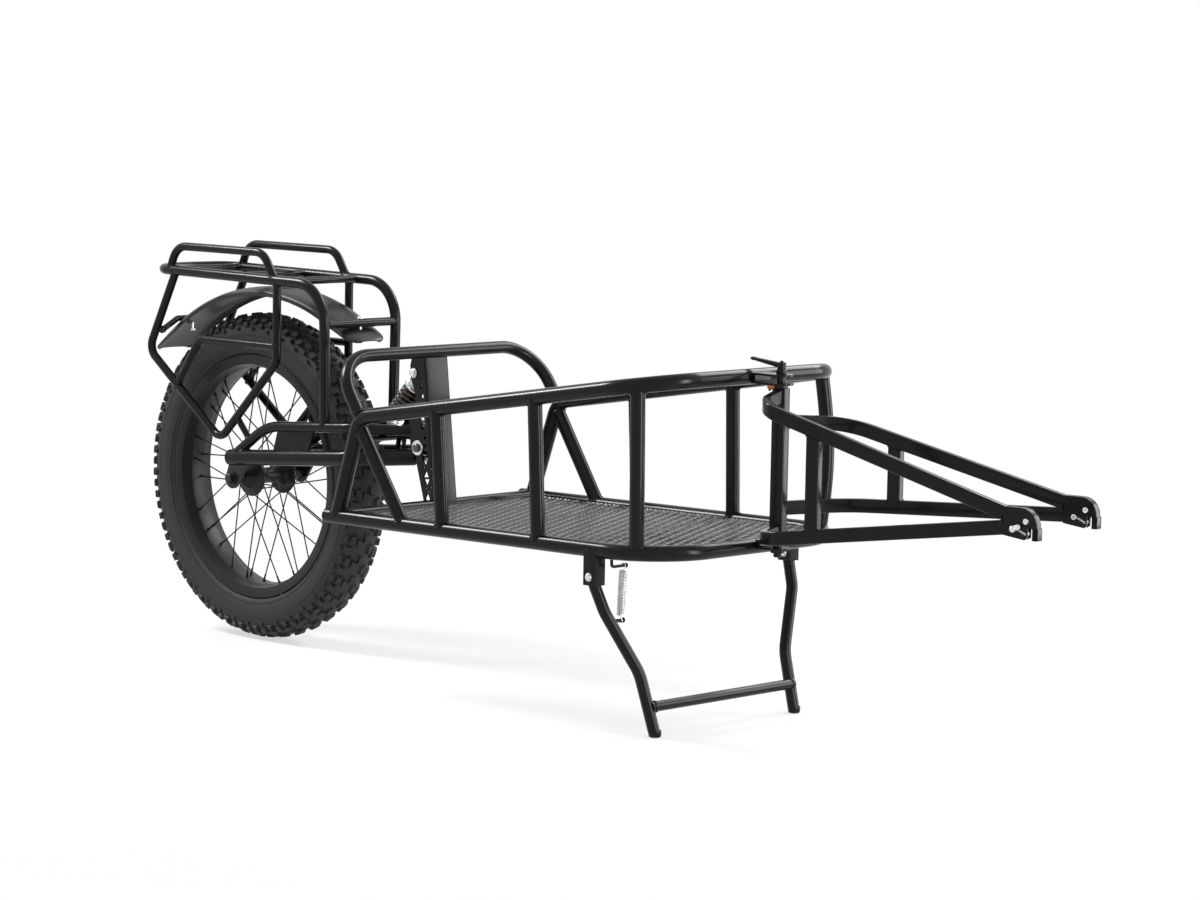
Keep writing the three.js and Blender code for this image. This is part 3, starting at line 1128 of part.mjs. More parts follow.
function standBrackets() {
  const { size, wall, foot, headroom } = STAND_BRACKET;
  const { x, z, bolt, head, headWall } = STAND;
  const top = lowerZ(x);
  const ceiling = z + headroom;
  for (const [name, side] of SIDES) {
    const y = side * STAND.half;
    const whole = block(size, size, top - foot, x, y, (top + foot) / 2);
    const room = block(size * 2, size - wall * 2, (ceiling - foot) * 2, x - size / 2 - wall, y, foot);
    const hole = turned(disc(bore(bolt, FIT.gap, TUBE_SIDES), y - size, y + size), TUBE_SIDES, x, z);
    piece(`stand_bracket_${name}`, cut(whole, [room, hole, lowerEnvelope]), BLACK);
    const half = size / 2 + FIT.gap;
    const end = half + headWall;
    const profile = [[0, y - end], [head, y - end], [head, y - half], [bolt, y - half], [bolt, y + half],
      [head, y + half], [head, y + end], [0, y + end]];
    piece(`stand_bolt_${name}`, turned(profile, TUBE_SIDES, x, z), STEEL);
  }
}

// Return spring between a rod under the right rail and a pin on the right leg

const springFoot = at(STAND.pinX, -EXTENSION.half, STAND.pinHigh);
const springTop = at(ROD.x, -EXTENSION.half, ROD.z);

function standSpring() {
  const rodPiece = tube(rounded([
    at(ROD.x, -ROD.rootHalf, lowerZ(ROD.x)),
    at(ROD.x, -ROD.rootHalf, ROD.z),
    at(ROD.x, -ROD.tipHalf, ROD.z),
  ], ROD.bend), ROD.radius, SMALL_SIDES, FORWARD);
  piece('spring_rod', cut(rodPiece, [lowerEnvelope]), BLACK);
  const along = springFoot.clone().sub(springTop);
  const length = along.length() - ROD.radius - STAND.pinRadius - FIT.gap * 2;
  const stations = coil(EXTENSION, length);
  console.log('stand spring least gap to itself, mm:',
    leastGap(stations, EXTENSION.wire, EXTENSION.steps).toFixed(2));
  along.normalize();
  const start = springTop.clone().addScaledVector(along, ROD.radius + FIT.gap);
  piece('stand_spring', coilSolid(stations, EXTENSION.wire, EXTENSION.sides, start, along), STEEL);
}

// Assembly

const steering = new THREE.Group();
steering.position.set(KINGPIN.x, 0, 0);
steering.rotation.z = THREE.MathUtils.degToRad(YOKE.yaw);
trailer.add(steering);

basketRails();
basketPosts();
floorMesh();
mast();
frameBolts();
swingArms();
pivotTube();
shockCarrier();
dropouts();
hubWithSpokes();
rim();
tyre();
valve();
shock();
rack();
rackSides();
fender();
fenderMounts();
kingBrackets();
kingpin(steering);
yoke(steering);
hitches(steering);
latches(steering);
kickstand();
standBrackets();
standSpring();

// The origin goes to the middle of the overall box, on the ground
const box = new THREE.Box3().setFromObject(trailer);
const origin = box.getCenter(new THREE.Vector3());
const placed = new THREE.Group();
placed.position.set(-origin.x, -origin.y, -box.min.z);
placed.add(trailer);

export default placed;
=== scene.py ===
"""Looks of the single-wheel cargo trailer: smooth tubes, welds, tread, mesh floor and their materials.

Places are written in millimetres from the point where the tyre touches the ground, as in the CAD
source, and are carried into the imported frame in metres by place() and steer().
"""

import math

import bmesh
import bpy
from mathutils import Matrix, Vector
from mathutils.geometry import tessellate_polygon


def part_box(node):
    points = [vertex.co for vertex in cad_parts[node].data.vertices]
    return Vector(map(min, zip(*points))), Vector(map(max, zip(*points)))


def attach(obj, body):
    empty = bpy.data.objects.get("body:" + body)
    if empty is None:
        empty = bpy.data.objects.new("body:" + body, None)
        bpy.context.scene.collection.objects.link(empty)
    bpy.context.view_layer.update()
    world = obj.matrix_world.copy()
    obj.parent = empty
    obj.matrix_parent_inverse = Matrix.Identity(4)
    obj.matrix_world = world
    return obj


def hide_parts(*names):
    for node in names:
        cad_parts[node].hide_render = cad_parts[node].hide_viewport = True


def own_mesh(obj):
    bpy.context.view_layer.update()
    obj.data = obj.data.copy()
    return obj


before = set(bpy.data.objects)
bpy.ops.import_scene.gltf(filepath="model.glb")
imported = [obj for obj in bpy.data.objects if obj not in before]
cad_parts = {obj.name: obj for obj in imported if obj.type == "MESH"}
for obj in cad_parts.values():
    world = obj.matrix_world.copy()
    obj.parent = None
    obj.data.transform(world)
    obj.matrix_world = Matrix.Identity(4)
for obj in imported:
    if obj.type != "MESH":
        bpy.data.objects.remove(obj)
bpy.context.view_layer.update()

# Sizes of the solids, in millimetres

MM = 0.001
RIGHT, LEFT = -1, 1
SIDES = (("right", RIGHT), ("left", LEFT))

AXIS_Z = 350
AXLE = Vector((0, 0, AXIS_Z))
TYRE_RADIUS, TYRE_HALF, KNOB = 344, 50, 6
RIM_LIP, RIM_EYE, RIM_HALF, RIM_WELL, RIM_WELL_HALF = 260, 240, 42, 232, 20
FLANGE, FLANGE_AT, FLANGE_WALL, HOLE_CIRCLE = 42, 45, 5, 37

RAIL = 15
LOWER_REAR_X, LOWER_FRONT_X, LOWER_HALF, LOWER_CORNER = 505, 1415, 271, 133
LOWER_REAR_Z, LOWER_FRONT_Z = 336, 351
LOWER_RISE = (LOWER_FRONT_Z - LOWER_REAR_Z) / (LOWER_FRONT_X - LOWER_REAR_X)
UPPER_FOOT_X, UPPER_BEND_X, UPPER_BEND_Z, UPPER_FRONT_X, UPPER_FRONT_Z = 535, 604, 541, 1395, 667
UPPER_HALF, UPPER_CORNER, UPPER_BEND = 275, 120, 46
# Slopes as the welds and the end caps take them, rounded
LOWER_SLOPE, SWING_SLOPE, RACK_SLOPE = 0.0165, 0.084, -0.0114
UPPER_RISE = (UPPER_FRONT_Z - UPPER_BEND_Z) / (UPPER_FRONT_X - UPPER_BEND_X)
HOOP_X, HOOP_Z, HOOP_HALF, HOOP_RADIUS, HOOP_CORNER = 524, 653, 274, 13, 90
POST = 14
POSTS = (("first", 841, 825, 0), ("second", 1104, 1093, 0), ("corner", 1345, 1341, 13))
BRACE_FOOT, BRACE_TOP_X, BRACE_TOP_Z = 729, 603, 524
CROSS_X, CROSS_Z, CROSS_RADIUS = 552, 341, 12.5
MESH_LONG, MESH_SHORT, STRAND_WIDE, STRAND_THICK, STRAND_TWIST = 45, 23.4, 4, 2.4, 0.225
BORDER, BORDER_SIDE, MESH_LIFT, MESH_GAP = 7, 1.2, 3, 0.3

MAST_HALF, MAST_WALL, MAST_BEND = 32, 4, 5
MAST_TOP_X, MAST_TOP_Z, MAST_FOOT_X, MAST_FOOT_Z = 528, 640, 563, 341
PIVOT_X, PIVOT_Z, PIVOT_BOLT, SHOCK_BOLT = 510, 456, 9, 5
SHOCK_TOP, SHOCK_FOOT = Vector((495, 0, 608)), Vector((385, 0, 492))

SWING_HALF, SWING_NOSE_HALF, SWING_REAR_X, SWING_REAR_Z, SWING_RADIUS = 95, 20, -8, 394, 17
SWING_BEND_X, SWING_BEND_Z, SWING_NOSE_Z = 365, 425.45, 436
STRUT_REAR_X, STRUT_REAR_Z, STRUT_BEND, STRUT_RADIUS = SWING_REAR_X + 17, SWING_REAR_Z + 8.5, (110, 470), 11
STRUT_FRONT, STRUT_NOSE = (370, 489), (PIVOT_X - 17, 487)
GUSSET_FEET, GUSSET_TOPS, GUSSET_TOP_Z, GUSSET_WALL = (128, 238), (262, 150), 475.5, 4
CARRIER_Z, CARRIER_HALF, CARRIER_RADIUS = SHOCK_FOOT.z - 22, 89, 12
SWING_FLAT_FROM, STRUT_FLAT_FROM = 300, 380
NOSE_PLATE, WEB, WEB_HOLES, WEB_HOLE_STEP = (476, 502, 430, 487), (415, 496, 428, 487), (446, 466), 27
DROPOUT_REAR_X, DROPOUT_FRONT_X, DROPOUT_RADIUS, DROPOUT_WALL = -4, 58, 22, 6

RACK_HALF, RACK_REAR_X, RACK_REAR_Z, RACK_FRONT_X, RACK_FRONT_Z, RACK_RADIUS = 100, -252, 783, 294, 777, 11
RACK_FOOT_HALF, RACK_FOOT_Z, RACK_BOW, RACK_BARS, RACK_BAR = 95, 482, 14, (-209, 4, 172), 8
CROSSBAR_Z, SIDE_TUBE = 696, 9
SIDE_HOOP_X, SIDE_HOOP_TOP_X, SIDE_HOOP_Z, SIDE_HOOP_CORNER = (-209, 137), (-186, 100), 835, 46
PANNIER_TOP_X, PANNIER_REAR, PANNIER_FOOT, PANNIER_FRONT = -188, (-279, 607), (-36, 430), (145, 607)
PANNIER_BAR_Z, PANNIER_BAR_BEND_X, PANNIER_BAR_END = 640, -108, (-186, 529)
PANNIER_CORNER, PANNIER_BAR, PANNIER_BAR_HOST_Z, STRUT_HOST_Z = 30, 8, 543, 425
PANNIER_STRUT, PANNIER_STRUT_FOOT, PANNIER_STRUT_RADIUS = (17, 484), (47, 445), 7
FENDER_X, FENDER_Z, FENDER_RADIUS, FENDER_HALF = 35, 260, 497, 53
FENDER_START, FENDER_END = math.radians(54), math.radians(136)
STAY_X, STAY_FOOT, STAY_HALF, STAY_RADIUS = -255, (-238, 649), 42, 6.5

LEVER_LONG, LEVER_Z, LEVER_LIFT = 74, 692, 9
KINGPIN_X, KINGPIN_BORE, BRACKET_NOSE, BRACKET_WIDE, BRACKET_PLATE = 1464, 8.6, 22, 22, 4
UPPER_BRACKET, LOWER_BRACKET = (676, 655.5), (365, 348)
COLUMN_FOOT, COLUMN_TOP, COLUMN_BORE = 365.3, 650, 10
YOKE_YAW, YOKE_HALF, YOKE_WIDE, YOKE_HIGH = math.radians(9), 110, 16, 26
YOKE_TIP_X, YOKE_TOP_Z, YOKE_LOW_Z = 556, 470, 452
YOKE_ARMS = {
    "right": {"top": (637, 624), "low": (382, 380), "elbow": 25, "bend": 60, "strut": 144},
    "left": {"top": (588, 582), "low": (426, 429), "elbow": 80, "bend": 100, "strut": 185},
}
HITCH_REAR_X, HITCH_FRONT_X, HITCH_TOP, HITCH_FOOT = 540, 609, 487, 431
SLOT_X, SLOT_HALF, SLOT_TOP, NOSE_TOP, NOSE_STEP = 593, 5, 454, 453, 2.2
HITCH_PLATE, HITCH_BACK, HITCH_RIM, HITCH_ARC = 4, 2.5, 6, 32
LATCH_FROM, LATCH_TO, LATCH_RADIUS, LATCH_WINDOW = Vector((560, 0, 451)), Vector((586.5, 0, 439)), 3, 3.4
RIVET = Vector((585, 0, 464))

STAND_X, STAND_Z, STAND_HALF, STAND_RADIUS = 1254, 298, 271, 11.5
LEG_BENDS, STAND_FOOT_X, STAND_FOOT = ((1273, 262, 232), (1309, 203, 116)), 1344, 195
BRACKET_HALF, BRACKET_WALL, BRACKET_FOOT, BRACKET_ROOF = 15, 2.5, 282, 315
BAR_X, BAR_Z, BAR_RADIUS = 1335, 55.5, 10
SPRING_Y, PEG_OUTER_Y, PEG_INNER_Y, PEG_RADIUS = -225, -262, -216, 3.5
SPRING_TOP, SPRING_LOW = Vector((1284, SPRING_Y, 318)), Vector((1278, SPRING_Y, 214.5))

wheel_low, wheel_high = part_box("tyre")
WHEEL_X = (wheel_low.x + wheel_high.x) / 2


def place(point):
    """A point of the source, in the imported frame."""
    return Vector((WHEEL_X + point[0] * MM, point[1] * MM, point[2] * MM))


def steer(point):
    """A point of the yoke, drawn straight ahead of the kingpin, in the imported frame."""
    cosine, sine = math.cos(YOKE_YAW), math.sin(YOKE_YAW)
    x = KINGPIN_X + point[0] * cosine - point[1] * sine
    y = point[0] * sine + point[1] * cosine
    return place((x, y, point[2]))


def mix(a, b, share):
    return a + (b - a) * share


def share_of(value, low, high):
    return (value - low) / (high - low)


# Materials


def set_inputs(tree, node, inputs):
    """Inputs of a node, set to values or linked to outputs of other nodes."""
    for key, value in inputs.items():
        if isinstance(value, bpy.types.NodeSocket):
            tree.links.new(value, node.inputs[key])
        else:
            node.inputs[key].default_value = value


def add_node(tree, kind, inputs, **settings):
    """A new shader node, given back as its outputs."""
    node = tree.nodes.new("ShaderNode" + kind)
    for key, value in settings.items():
        setattr(node, key, value)
    set_inputs(tree, node, inputs)
    return node.outputs


def noise(tree, scale, detail, stretch=(1, 1, 1)):
    place_on = add_node(tree, "TexCoord", {})["Object"]
    mapped = add_node(tree, "Mapping", {"Vector": place_on, "Scale": stretch})["Vector"]
    inputs = {"Vector": mapped, "Scale": scale, "Detail": detail, "Roughness": 0.55}
    return add_node(tree, "TexNoise", inputs)["Fac"]


def ranged(tree, factor, low, high, start=0.3, end=0.7, **settings):
    inputs = {"Value": factor, "From Min": start, "From Max": end, "To Min": low, "To Max": high}
    return add_node(tree, "MapRange", inputs, **settings)["Result"]


def coloured(tree, factor, dark, pale, start=0.3, end=0.7):
    ramp = tree.nodes.new("ShaderNodeValToRGB")
    for element, position, colour in zip(ramp.color_ramp.elements, (start, end), (dark, pale)):
        element.position = position
        element.color = (*colour, 1)
    tree.links.new(factor, ramp.inputs["Fac"])
    return ramp.outputs["Color"]


def bumped(tree, height, strength, distance, **before):
    inputs = {"Height": height, "Strength": strength, "Distance": distance, **before}
    return add_node(tree, "Bump", inputs)["Normal"]


def finish(name, slot, dark, pale, rough, spread, metallic=0.0, specular=0.5, coat=0.0,
           patch=14, grain=900, strength=0.12, distance=0.00015, stretch=(1, 1, 1)):
    """A material and its slot: colour and gloss drift over the surface, with a fine grain in the bump."""
    made = bpy.data.materials.new(name)
    made.use_nodes = True
    made.diffuse_color = (*[(a + b) / 2 for a, b in zip(dark, pale)], 1)
    made.roughness = rough
    tree = made.node_tree
    broad = noise(tree, patch, 4)
    swell = bumped(tree, noise(tree, 160, 2), 0.06, 0.0004)
    set_inputs(tree, tree.nodes["Principled BSDF"], {
        "Base Color": coloured(tree, broad, dark, pale),
        "Roughness": ranged(tree, broad, rough - spread, rough + spread),
        "Metallic": metallic,
        "Specular IOR Level": specular,
        "Coat Weight": coat,
        "Coat Roughness": 0.12,
        "Normal": bumped(tree, noise(tree, grain, 2, stretch), strength, distance, Normal=swell),
    })
    return made, slot


PAINT = finish("powder_coat", "black_frame", (0.0045, 0.0047, 0.0052), (0.0072, 0.0074, 0.0079), 0.2, 0.025,
               specular=0.16, strength=0.08, distance=0.00006)
# The floor mesh has the same black paint as the frame. Its colour is lifted to a dark grey to stand in for
# the bright reflections along its strands: painted sheen.
MESH_PAINT_AND_SHEEN = finish("mesh_coat_painted_sheen", "black_frame", (0.022, 0.0225, 0.023), (0.034, 0.0345, 0.035), 0.24, 0.03,
                    specular=1.0, coat=0.5, strength=0.05, distance=0.00005)
CAST = finish("dropout_coat", "black_frame", (0.008, 0.008, 0.0085), (0.013, 0.013, 0.0135), 0.36, 0.05,
              specular=0.3, strength=0.3, distance=0.00012)
RIM_COAT = finish("rim_anodising", "rim", (0.006, 0.006, 0.0063), (0.009, 0.009, 0.0093), 0.4, 0.04,
                  specular=0.25)
SPOKE_OXIDE = finish("spoke_oxide", "spokes", (0.004, 0.004, 0.004), (0.008, 0.008, 0.008), 0.4, 0.05,
                     specular=0.2)
TREAD_RUBBER = finish("tread_rubber", "tyre", (0.010, 0.010, 0.010), (0.021, 0.0207, 0.0202), 0.66, 0.08,
                      specular=0.4, patch=30, grain=700, strength=0.4, distance=0.0003)
SOFT_RUBBER = finish("soft_rubber", "rubber", (0.009, 0.009, 0.009), (0.014, 0.014, 0.014), 0.7, 0.05,
                     specular=0.3)
MOULDED = finish("moulded_plastic", "plastic", (0.0085, 0.0085, 0.009), (0.012, 0.012, 0.0125), 0.34, 0.03,
                 specular=0.4, grain=1400, strength=0.3, distance=0.0001)
ZINC = finish("zinc_plate", "steel", (0.6, 0.61, 0.62), (0.78, 0.78, 0.79), 0.27, 0.06, metallic=1.0,
              patch=60, strength=0.1, stretch=(1, 9, 1))
SILVER = finish("brushed_alloy", "steel", (0.56, 0.57, 0.58), (0.72, 0.72, 0.73), 0.3, 0.06, metallic=1.0,
                patch=40, stretch=(1, 12, 1))
COIL_BLACK = finish("coil_enamel", "spring", (0.008, 0.008, 0.009), (0.013, 0.013, 0.014), 0.2, 0.03,
                    specular=0.5, coat=0.4)
COPPER = finish("copper_anodising", "brass", (0.26, 0.095, 0.035), (0.4, 0.155, 0.056), 0.28, 0.05,
                metallic=0.9)
DARK_STEEL = finish("dark_steel", "steel", (0.07, 0.07, 0.073), (0.13, 0.13, 0.135), 0.3, 0.06, metallic=0.9)
# Bronze of the kingpin thrust washer, its colour darkened to the shade in the narrow gap under the upper
# bracket: painted shade.
BRONZE_IN_PAINTED_SHADE = finish("bronze_painted_shade", "brass", (0.035, 0.022, 0.014), (0.06, 0.038, 0.024), 0.4, 0.06,
                metallic=0.8, patch=80)


# Mesh building


class Form:
    """Vertices and faces gathered for one piece."""

    def __init__(self):
        self.points, self.faces = [], []

    def add(self, points, faces):
        base = len(self.points)
        self.points += [Vector(p) for p in points]
        self.faces += [tuple(base + i for i in face) for face in faces]


def listed(value, count):
    return value if isinstance(value, (list, tuple)) else [value] * count


def basis(axis):
    """An axis of length one, and two directions square to it."""
    axis = Vector(axis).normalized()
    side = axis.orthogonal().normalized()
    return axis, side, axis.cross(side)


def turned(first, second, angle):
    """A direction turned by an angle from the first towards the second."""
    return first * math.cos(angle) + second * math.sin(angle)


def arc(x, y, radius, start, turn, parts):
    """Places on an arc about a centre, both ends included."""
    angles = [start + turn * i / parts for i in range(parts + 1)]
    return [(x + radius * math.cos(angle), y + radius * math.sin(angle)) for angle in angles]


def circle(radius, sides=20, x=0, y=0):
    return arc(x, y, radius, 0, math.tau, sides)[:-1]


def box_loop(x_low, x_high, y_low, y_high):
    return [(x_low, y_low), (x_high, y_low), (x_high, y_high), (x_low, y_high)]


def soft_box(wide, high, corner, parts=4):
    """A rectangle with rounded corners, as a section."""
    section = []
    for quarter, (x, y) in enumerate(((1, 1), (-1, 1), (-1, -1), (1, -1))):
        section += arc(x * (wide / 2 - corner), y * (high / 2 - corner), corner,
                       math.pi / 2 * quarter, math.pi / 2, parts)
    return section


def soft_loop(corners, radius, parts=4):
    """A closed outline with every corner rounded."""
    corners = [Vector((*corner, 0)) for corner in corners]
    made = []
    for i, (here, size) in enumerate(zip(corners, listed(radius, len(corners)))):
        into, out = here - corners[i - 1], corners[(i + 1) % len(corners)] - here
        reach = min(size * math.tan(into.angle(out) / 2), into.length * 0.49, out.length * 0.49)
        start, end = here - into.normalized() * reach, here + out.normalized() * reach
        shares = [k / parts for k in range(parts + 1)] if size else [0]
        curve = [start * (1 - s) ** 2 + here * 2 * s * (1 - s) + end * s ** 2 for s in shares]
        made += [(point.x, point.y) for point in curve]
    return made


def smooth_curve(points, parts=4):
    """A curve through the points, for profiles."""
    made = []
    padded = [points[0], *points, points[-1]]
    for near in zip(padded, padded[1:], padded[2:], padded[3:]):
        for t in [k / parts for k in range(parts)]:
            made.append(tuple(0.5 * (2 * b + (c - a) * t + (2 * a - 5 * b + 4 * c - d) * t ** 2
                                     + (3 * b - a - 3 * c + d) * t ** 3) for a, b, c, d in zip(*near)))
    return [*made, tuple(points[-1])]


def mirrored(profile):
    return [(first, -second) for first, second in reversed(profile)]


def both_halves(*places):
    """Places of the right half and then, in reverse, of the left one."""
    right = [Vector((x, -y, z)) for x, y, z in places]
    return right + [Vector((x, -y, z)) for x, y, z in reversed(right)]


def rounded(corners, radius, step=math.radians(6)):
    """Stations along a polyline whose inner corners are rounded."""
    corners = [Vector(corner) for corner in corners]
    stations = [corners[0]]
    for before, here, after, size in zip(corners, corners[1:], corners[2:], listed(radius, len(corners))):
        into, out = (here - before).normalized(), (after - here).normalized()
        turn = into.angle(out)
        inward = (out - into * into.dot(out)).normalized()
        centre = here - into * size * math.tan(turn / 2) + inward * size
        parts = max(math.ceil(turn / step), 2)
        stations += [centre + turned(-inward, into, turn * k / parts) * size for k in range(parts + 1)]
    return [*stations, corners[-1]]


def trimmed(stations, limit_x):
    """Stations up to a limit in X, with a last one on the limit."""
    count = next(i for i, station in enumerate(stations) if station.x > limit_x)
    here, ahead = stations[count - 1], stations[count]
    return [*stations[:count], here.lerp(ahead, share_of(limit_x, here.x, ahead.x))]


def tangents_of(stations, closed=False):
    count = len(stations)
    found = []
    for i, here in enumerate(stations):
        total = Vector((0, 0, 0))
        if closed or i > 0:
            total += (here - stations[i - 1]).normalized()
        if closed or i < count - 1:
            total += (stations[(i + 1) % count] - here).normalized()
        found.append(total.normalized())
    return found


def bands(rows, count, closed=False, around=True):
    """Faces between neighbouring rows of points, with a number of points in each row."""
    faces = []
    for i in range(rows if closed else rows - 1):
        j = (i + 1) % rows
        for k in range(count if around else count - 1):
            n = (k + 1) % count
            faces.append((i * count + k, i * count + n, j * count + n, j * count + k))
    return faces


def ends(rows, count):
    """The first and the last row of points as faces."""
    return [tuple(reversed(range(count))), tuple((rows - 1) * count + k for k in range(count))]


def sweep(form, section, stations, upright=None, scales=None, closed=False, caps=True):
    """A section of (across, up) places carried along stations."""
    stations = [Vector(station) for station in stations]
    tangents = tangents_of(stations, closed)
    normal = upright or tangents[0].orthogonal()
    points = []
    for i, (station, tangent) in enumerate(zip(stations, tangents)):
        if upright is None and i > 0:
            normal = tangents[i - 1].rotation_difference(tangent) @ normal
        up = (normal - tangent * normal.dot(tangent)).normalized()
        across = tangent.cross(up)
        wide, high = scales[i] if scales else (1, 1)
        points += [station + across * u * wide + up * v * high for u, v in section]
    faces = bands(len(stations), len(section), closed)
    if caps and not closed:
        faces += ends(len(stations), len(section))
    form.add(points, faces)


def tube(form, stations, radius, sides=20, **options):
    sweep(form, circle(radius, sides), stations, **options)


def rod(form, start, end, radius, sides=16):
    tube(form, [start, end], radius, sides)


def cross_rod(form, x, z, half, radius, sides=16):
    """A straight bar from the right to the left."""
    rod(form, (x, -half, z), (x, half, z), radius, sides)


def lathe(form, profile, origin, axis=(0, 1, 0), segments=32, closed=False):
    """A profile of (radius, place) turned about an axis."""
    axis, side, other = basis(axis)
    points = []
    for i in range(segments):
        out = turned(side, other, math.tau * i / segments)
        points += [Vector(origin) + axis * along + out * radius for radius, along in profile]
    form.add(points, bands(segments, len(profile), True, closed))


def as_drawn(u, v, w):
    return u, v, w


def plate(form, loops, low, high, carry=as_drawn):
    """Flat loops, the outline and then its holes, given thickness and carried by a function."""
    flat = [[Vector((u, v, 0)) for u, v in loop] for loop in loops]
    triangles = tessellate_polygon(flat)
    places = [p for loop in flat for p in loop]
    total = len(places)
    faces = [tuple(t) for t in triangles] + [tuple(total + i for i in reversed(t)) for t in triangles]
    base = 0
    for loop in flat:
        ring = [base + i for i in range(len(loop))]
        faces += [(i, j, total + j, total + i) for i, j in zip(ring, ring[1:] + ring[:1])]
        base += len(loop)
    form.add([carry(p.x, p.y, level) for level in (low, high) for p in places], faces)


def side_plate(form, loops, y, thick):
    """A plate drawn in X and Z, centred on a Y place."""
    plate(form, loops, y - thick / 2, y + thick / 2, lambda u, v, w: (u, w, v))


WELD_STEPS, WELD_SIDES = 44, 8
RIPPLE_LOW, RIPPLE_SWING, RIPPLE_PERIOD = 0.74, 0.3, 2.4


def weld(form, point, direction, radius, host_direction, host_radius, bead=2.5, host_point=None):
    """A rippled bead where a round member leaves a round host."""
    along, side, other = basis(direction)
    host, point = Vector(host_direction).normalized(), Vector(point)
    lean = along - host * along.dot(host)
    stations, outward = [], []
    for i in range(WELD_STEPS):
        out = turned(side, other, math.tau * i / WELD_STEPS)
        offset = point + out * radius - Vector(host_point or point)
        flat = offset - host * offset.dot(host)
        a, b, c = lean.dot(lean), 2 * flat.dot(lean), flat.dot(flat) - host_radius ** 2
        reach = (-b + math.sqrt(max(b * b - 4 * a * c, 0))) / (2 * a)
        stations.append(point + out * radius + along * reach)
        outward.append(out)
    points = []
    for i, (station, tangent, out) in enumerate(zip(stations, tangents_of(stations, True), outward)):
        up = (out - tangent * out.dot(tangent)).normalized()
        across = tangent.cross(up)
        ripple = bead * (RIPPLE_LOW + RIPPLE_SWING * abs(math.sin(i * math.pi / RIPPLE_PERIOD)))
        turns = [math.tau * k / WELD_SIDES for k in range(WELD_SIDES)]
        points += [station + turned(up, across, turn) * ripple for turn in turns]
    form.add(points, bands(WELD_STEPS, WELD_SIDES, True))


def weld_ends(form, stations, *sizes):
    """A bead at each end of a bent tube: its radius, the host's direction and radius, and the bead."""
    for end, ahead in ((stations[0], stations[1]), (stations[-1], stations[-2])):
        weld(form, end, ahead - end, *sizes)


def weld_bar(form, x, z, half, radius, *sizes):
    """A straight bar from side to side with a bead at each end."""
    cross_rod(form, x, z, half, radius, 20)
    for _, side in SIDES:
        weld(form, (x, side * half, z), (0, -side, 0), radius, *sizes)


def bolt_head(form, centre, axis, radius, high):
    """A hexagon head with a chamfered top."""
    lathe(form, [(0, high), (radius * 0.72, high), (radius * 0.86, high * 0.86), (radius * 0.9, high * 0.8)],
          centre, axis, 24)
    axis, side, other = basis(axis)
    corners = [Vector(centre) + turned(side, other, math.tau * i / 6) * radius for i in range(6)]
    form.add(corners + [corner + axis * high * 0.84 for corner in corners], bands(2, 6) + ends(2, 6))


JOIN_WITHIN, SHORTEST_EDGE = 2e-6, 1e-7


def piece(name, body, form, look, *nodes, sharp=38, bevel=0.0, move=place):
    """The form as a named object that rides on a body and stands for its CAD nodes."""
    material, slot = look
    mesh = bpy.data.meshes.new(name)
    mesh.from_pydata([move(p) for p in form.points], [], form.faces)
    work = bmesh.new()
    work.from_mesh(mesh)
    bmesh.ops.remove_doubles(work, verts=work.verts, dist=JOIN_WITHIN)
    bmesh.ops.dissolve_degenerate(work, edges=work.edges, dist=SHORTEST_EDGE)
    bmesh.ops.recalc_face_normals(work, faces=work.faces)
    work.to_mesh(mesh)
    work.free()
    mesh.materials.append(material)
    mesh.shade_smooth()
    mesh.set_sharp_from_angle(angle=math.radians(sharp))
    made = bpy.data.objects.new(name, mesh)
    bpy.context.scene.collection.objects.link(made)
    if bevel:
        edges = made.modifiers.new("edges", "BEVEL")
        edges.width = bevel * MM
        edges.segments = 2
        edges.limit_method = "ANGLE"
        edges.angle_limit = math.radians(sharp)
        edges.harden_normals = True
    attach(made, body)
    if nodes:
        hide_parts(*nodes)
    return made


# Basket


def lower_z(x):
    return mix(LOWER_REAR_Z, LOWER_FRONT_Z, share_of(x, LOWER_REAR_X, LOWER_FRONT_X))


def upper_z(x):
    return mix(UPPER_BEND_Z, UPPER_FRONT_Z, share_of(x, UPPER_BEND_X, UPPER_FRONT_X))


def corner_y(front, corner, half, x):
    start = front - corner
    if x <= start:
        return half
    return half - corner + math.sqrt(corner ** 2 - (x - start) ** 2)


def rail_direction(front, corner, half, x, side, rise):
    """The direction of a rail at a place along it, round its front corner too."""
    start = front - corner
    if x <= start:
        return Vector((1, 0, rise))
    y = corner_y(front, corner, half, x) - (half - corner)
    return Vector((y, -side * (x - start), rise * y)).normalized()


